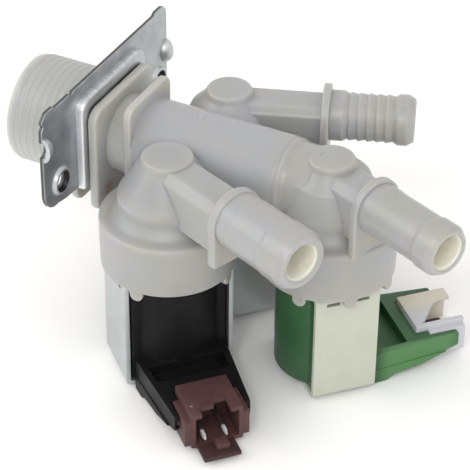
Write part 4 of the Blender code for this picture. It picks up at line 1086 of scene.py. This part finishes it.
def make_yokes(settings):
    """Bent steel strips closed round the coils, open towards the sockets."""
    zinc = yoke_look("yoke_zinc_look", settings.zinc, 0.75, 0.34)
    cream = yoke_look("yoke_cream_look", settings.cream, 0.15, 0.42)
    sheet = settings.sheet / MM
    half = YOKE_HALF_N
    vent_top = YOKE_TOP - sheet - 0.2
    for valve in VALVES:
        place = valve.socket()
        across = place @ FACING_X
        outer = rounded_box((-half, half), (YOKE_BOTTOM, YOKE_TOP), 1.7)
        made = prism(outer, -YOKE_HALF_D, YOKE_HALF_D, across, 0.15)
        inner = rounded_box((sheet - half, half - sheet), (YOKE_BOTTOM + sheet, YOKE_TOP - sheet), 0.6)
        holes = [prism(inner, -YOKE_HALF_D - PAST, YOKE_HALF_D + PAST, across)]
        holes.append(rod(SLEEVE_BORE_R, YOKE_BOTTOM - PAST, YOKE_TOP + PAST, place))
        for d in (-3.6, 3.6):
            ends = (-half - PAST, half + PAST)
            holes.append(block((d - 1.6, d + 1.6), ends, (vent_top - 0.8, vent_top), place))
        cut(made, *holes)
        look, slot = (cream, "yoke_cream") if valve is END else (zinc, "yoke_zinc")
        settle(made, valve.name + "_yoke_strip", look, slot, valve.name + "_yoke")


def tongue(valve):
    """Tongue with a lip under its root, a rising underside and sides that run together."""
    place = valve.socket()
    root_d = YOKE_HALF_D + GAP
    side_view = [
        (root_d, -50.4), (root_d + 3.9, -50.4, 0.4), (root_d + 5.7, -49.1, 0.6), (21.0, -48.5, 1.5),
        (31.2, -45.7, 0.5), (31.2, TONGUE_TOP, 0.8), (-2.0, TONGUE_TOP), (-2.0, -48.1), (root_d, -48.1)]
    made = prism(side_view, -26, 26, place @ Matrix.Rotation(pi / 2, 4, "X"))
    plan = [(-1.0, -11.6), (9.5, -11.3, 1.0), (31.4, -9.6)]
    made = carve(made, [("INTERSECT", prism(mirrored(plan), -52, TONGUE_TOP + PAST, place))])
    ledge = [(root_d + 1.0, -12.5), (root_d + 1.0, -11.15), (31.6, -9.15), (31.6, -12.5)]
    for sign in (1, -1):
        side = [(d, n * sign) for d, n in ledge]
        cut(made, prism(side, -46.6, TONGUE_TOP + PAST, place))
    return made


def pin_hole(valve, n, start, end):
    """Square hole round a pin."""
    half = PIN_SIDE / 2 + GAP
    return block((start, end), (n - half, n + half), (PIN_Z - half, PIN_Z + half), valve.socket())


def make_coils(settings):
    """Moulded coils with flat cheeks, each with the tongue that holds its socket."""
    black = moulded_look("coil_black_look", settings.black, 0.42, 0.05, 0.7, 0.35, 0.15)
    # Painted light on the near side of the end coil's tongue
    near_side = (END.axis, aimed(END.socket(), (0, -1, 0)), 9.0, 9.5)
    tongue_part = (END.axis, aimed(END.socket(), (1, 0, 0)), 9.0, 13.0)
    flank = (((near_side, tongue_part), settings.flank),)
    green = moulded_look("coil_green_look", settings.green, 0.40, 0.05, 0.8, tints=flank)
    radius = 12.0
    top = YOKE_TOP - 1.5
    bottom = YOKE_BOTTOM + 1.5
    for valve in VALVES:
        place = valve.socket()
        made = turned([(0, top), (radius, top, 0.7), (radius, bottom, 0.7), (0, bottom)], place)
        cheeks = prism(rounded_box((-7.5, 7.5), (-11.9, 11.9), 0.7), bottom + 0.1, top - 0.1, place, 0.3)
        add(made, cheeks, tongue(valve))
        tray = [(11.9, -9.4), (CROSS_RIB_D, -8.8)]
        holes = [prism(mirrored(tray), -44.6, TONGUE_TOP + PAST, place)]
        wing_d = valve.socket_back + 2.7
        bay = [(valve.socket_back - GAP, -6.6), (wing_d, -6.6), (wing_d, -8.2), (32.2, -8.2)]
        holes.append(prism(mirrored(bay), -51.4, TONGUE_TOP + PAST, place))
        holes.append(block((wing_d + 1.0, 32.2), (-8.9, 8.9), (-44.9, -43.1), place))
        holes.append(rod(SLEEVE_BORE_R + 1.4, bottom - PAST, top + PAST, place))
        holes += [pin_hole(valve, n, CROSS_RIB_D - 3.0, valve.socket_back) for n in PIN_PLACES]
        cut(made, *holes)
        look, slot = (green, "coil_green") if valve is END else (black, "coil_black")
        settle(made, valve.name + "_coil_moulding", look, slot, valve.name + "_coil")


def roof_opening(valve):
    """Opening in the socket's roof: stepped on the front socket, swept on the white ones."""
    face = valve.socket_face
    if valve is FRONT:
        return [(face - 2.4, -3.7), (face - 2.4, -0.1), (face - 4.1, -0.1), (face - 4.1, 3.3),
                (face + PAST, 3.3), (face + PAST, -3.7)]
    sweep = ((11.0, -5.2), (9.9, -4.6), (8.8, -3.4), (7.6, -1.8), (6.4, -0.2), (5.2, 1.3), (4.0, 2.4),
             (2.8, 2.8))
    return [(face - d, n) for d, n in sweep] + [(face + PAST, 2.8), (face + PAST, -5.2)]


def make_sockets(settings):
    """Socket housings with side wings on rails, an open roof edge, and all but one with a key and a latch."""
    top, bottom, half = SOCKET_TOP, SOCKET_BOTTOM, SOCKET_HALF
    dot = FRONT.socket() @ Vector((30.9, -5.1, top))
    ahead = aimed(FRONT.socket(), (1, 0, 0))
    # Painted shade on the latch, low down and beyond the front socket's face
    latch = ((FRONT.axis, ahead, FRONT.socket_face + 0.2, FRONT.socket_face + 0.6),
             (FRONT.axis, (0, 0, -1), -bottom - 1.6, -bottom - 1.4))
    latch_shade = ((latch, toned(settings.brown, 0.5)),)
    brown = moulded_look("socket_brown_look", settings.brown, 0.5, 0.05, 0.75, 0.25, 0.3, (dot,), latch_shade)
    # Warmer tone on the far side of the white sockets
    far_side = ((END.axis, aimed(END.socket(), (0, 1, 0)), -3.0, 3.5),)
    far_side_tone = ((far_side, settings.far_side_tone),)
    white = moulded_look("socket_white_look", settings.white, 0.42, 0.03, 0.9, 0.1, 0.5, (), far_side_tone)
    wall = settings.wall / MM
    floor = bottom + wall
    for valve in VALVES:
        place = valve.socket()
        back, face = valve.socket_back, valve.socket_face
        roof = top if valve is FRONT else top - 0.6
        made = block((back, face), (-half, half), (bottom, roof), place, 0.25)
        extras = [block((back + 3.0, face - 0.2), (-7.9, 7.9), (-48.4, -41.6), place, 0.2)]
        extras.append(block((back + 4.4, face - 3.8), (-8.6, 8.6), (-44.6, -43.4), place))
        if valve is not END:
            extras.append(block((face - 3.0, face + 5.5), (-5.1, 3.9), (bottom + 0.05, floor), place, 0.2))
        add(made, *extras)
        inner = half - wall
        holes = [block((back + 3.2, face + 7.2), (-inner, inner), (floor - 0.02, roof - wall), place)]
        holes.append(prism(roof_opening(valve), roof - wall - PAST, roof + PAST, place))
        holes += [pin_hole(valve, n, back - PAST, back + 4.0) for n in PIN_PLACES]
        cut(made, *holes)
        if valve is not END:
            add(made, block((face + 0.5, face + 3.7), (-1.35, 1.85), (floor - LAP, floor + 1.5), place, 0.3))
        look, slot = (brown, "socket_brown") if valve is FRONT else (white, "socket_white")
        settle(made, valve.name + "_plug_socket", look, slot, valve.name + "_socket")
        # Painted shade on the pins' roots deep in the socket
        inward = aimed(place, (-1, 0, 0))
        pin_root_shade = ((((valve.axis, inward, 1.9 - face, 2.8 - face),), settings.pin_root_shade),)
        tin = metal_look(valve.name + "_tinned_pin", settings.tin, 0.25, metallic=0.3, tints=pin_root_shade)
        for label in ("a", "b"):
            dress(f"{valve.name}_pin_{label}", tin)


# Stage

def camera_axes(settings):
    """Right, up and back of the camera."""
    a, e, r = settings.azimuth, settings.elevation, settings.roll
    right = Vector((cos(a), sin(a), 0.0))
    back = Vector((sin(a) * cos(e), -cos(a) * cos(e), sin(e)))
    up = back.cross(right)
    return right * cos(r) + up * sin(r), up * cos(r) - right * sin(r), back


def area_light(name, place, target, size, power):
    """A large soft light aimed at a point."""
    data = bpy.data.lights.new(name, "AREA")
    data.shape = "RECTANGLE"
    data.size, data.size_y = size
    data.energy = power
    lamp = bpy.data.objects.new(name, data)
    lamp.location = place
    lamp.rotation_euler = (Vector(target) - Vector(place)).to_track_quat("-Z", "Y").to_euler()
    bpy.context.scene.collection.objects.link(lamp)


def make_stage(settings):
    """Plain pale floor, soft light and the camera."""
    scene = bpy.context.scene
    shape = bmesh.new()
    bmesh.ops.create_grid(shape, x_segments=1, y_segments=1, size=2.0)
    floor = new_object("floor", shape)
    floor.location.z = -0.2 * MM
    look = Finish("pale_floor", Roughness=0.7)
    look.feed("Base Color", look.mix(look.noise(0.01), settings.floor, toned(settings.floor, 0.98)))
    floor.data.materials.append(look.material)
    world = bpy.data.worlds.new("studio")
    world.use_nodes = True
    sky = world.node_tree.nodes["Background"].inputs
    sky["Color"].default_value = (1.0, 0.99, 0.965, 1.0)
    sky["Strength"].default_value = settings.world
    scene.world = world
    middle = (0.0, 0.0, 0.04)
    for name, place, size, power in (
            ("main_light", (0.25, -0.70, 0.62), (0.55, 0.4), settings.key),
            ("small_light", (0.12, -0.62, 0.66), (0.1, 0.1), settings.fill * 0.45),
            ("left_light", (-0.6, -0.35, 0.5), (0.5, 0.5), settings.fill * 1.1),
            ("right_light", (0.75, -0.25, 0.35), (0.5, 0.5), settings.fill * 0.45)):
        area_light(name, place, middle, size, power)
    right, up, back = camera_axes(settings)
    data = bpy.data.cameras.new("camera")
    data.sensor_width = 36.0
    data.lens = settings.lens
    data.clip_start, data.clip_end = 0.05, 20.0
    camera = bpy.data.objects.new("camera", data)
    spot = ORIGIN * MM + right * CAMERA_ASIDE - up * CAMERA_BELOW + back * settings.distance
    turn = Matrix((right, up, back)).transposed().to_4x4()
    camera.matrix_world = Matrix.Translation(spot) @ turn
    scene.collection.objects.link(camera)
    scene.camera = camera
    scene.view_settings.view_transform = "Standard"


# Operators, panel and registration

class VALVE_OT_body(bpy.types.Operator):
    """Build the nylon body and its thread."""

    bl_idname = "valve.body"
    bl_label = "Nylon body"

    def execute(self, context):
        make_body(context.scene.valve_body)
        return {"FINISHED"}


class VALVE_OT_bracket(bpy.types.Operator):
    """Build the plated bracket."""

    bl_idname = "valve.bracket"
    bl_label = "Bracket"

    def execute(self, context):
        make_bracket(context.scene.valve_bracket)
        return {"FINISHED"}


class VALVE_OT_strainer(bpy.types.Operator):
    """Build the strainer and dress the rubber pieces."""

    bl_idname = "valve.strainer"
    bl_label = "Strainer"

    def execute(self, context):
        make_strainer(context.scene.valve_inner)
        return {"FINISHED"}


class VALVE_OT_works(bpy.types.Operator):
    """Build the springs and dress the works inside the valves."""

    bl_idname = "valve.works"
    bl_label = "Inner works"

    def execute(self, context):
        make_works(context.scene.valve_inner)
        return {"FINISHED"}


class VALVE_OT_yokes(bpy.types.Operator):
    """Build the steel yokes."""

    bl_idname = "valve.yokes"
    bl_label = "Yokes"

    def execute(self, context):
        make_yokes(context.scene.valve_yokes)
        return {"FINISHED"}


class VALVE_OT_coils(bpy.types.Operator):
    """Build the moulded coils and their tongues."""

    bl_idname = "valve.coils"
    bl_label = "Coils"

    def execute(self, context):
        make_coils(context.scene.valve_coils)
        return {"FINISHED"}


class VALVE_OT_sockets(bpy.types.Operator):
    """Build the plug sockets and dress their pins."""

    bl_idname = "valve.sockets"
    bl_label = "Sockets"

    def execute(self, context):
        make_sockets(context.scene.valve_sockets)
        return {"FINISHED"}


class VALVE_OT_stage(bpy.types.Operator):
    """Build the floor, the lights and the camera."""

    bl_idname = "valve.stage"
    bl_label = "Stage"

    def execute(self, context):
        make_stage(context.scene.valve_stage)
        return {"FINISHED"}


GROUPS = (
    ("valve_body", BodySettings, (VALVE_OT_body,)),
    ("valve_bracket", BracketSettings, (VALVE_OT_bracket,)),
    ("valve_inner", InnerSettings, (VALVE_OT_strainer, VALVE_OT_works)),
    ("valve_yokes", YokeSettings, (VALVE_OT_yokes,)),
    ("valve_coils", CoilSettings, (VALVE_OT_coils,)),
    ("valve_sockets", SocketSettings, (VALVE_OT_sockets,)),
    ("valve_stage", StageSettings, (VALVE_OT_stage,)),
)


class VALVE_PT_panel(bpy.types.Panel):
    """Sizes, colours and build buttons of the inlet valve."""

    bl_idname = "VALVE_PT_panel"
    bl_label = "Inlet valve"
    bl_space_type = "VIEW_3D"
    bl_region_type = "UI"
    bl_category = "Inlet valve"

    def draw(self, context):
        for attribute, group, operators in GROUPS:
            box = self.layout.box()
            for operator in operators:
                box.operator(operator.bl_idname)
            for name in group.__annotations__:
                box.prop(getattr(context.scene, attribute), name)


def register():
    """Add the settings, operators and panel."""
    for attribute, group, operators in GROUPS:
        bpy.utils.register_class(group)
        setattr(bpy.types.Scene, attribute, bpy.props.PointerProperty(type=group))
        for operator in operators:
            bpy.utils.register_class(operator)
    bpy.utils.register_class(VALVE_PT_panel)


def unregister():
    """Take the panel, operators and settings away again."""
    bpy.utils.unregister_class(VALVE_PT_panel)
    for attribute, group, operators in reversed(GROUPS):
        for operator in operators:
            bpy.utils.unregister_class(operator)
        delattr(bpy.types.Scene, attribute)
        bpy.utils.unregister_class(group)


def main():
    """Build every piece and the stage."""
    register()
    bpy.ops.valve.body()
    bpy.ops.valve.bracket()
    bpy.ops.valve.strainer()
    bpy.ops.valve.works()
    bpy.ops.valve.yokes()
    bpy.ops.valve.coils()
    bpy.ops.valve.sockets()
    bpy.ops.valve.stage()


if __name__ == "__main__":
    main()
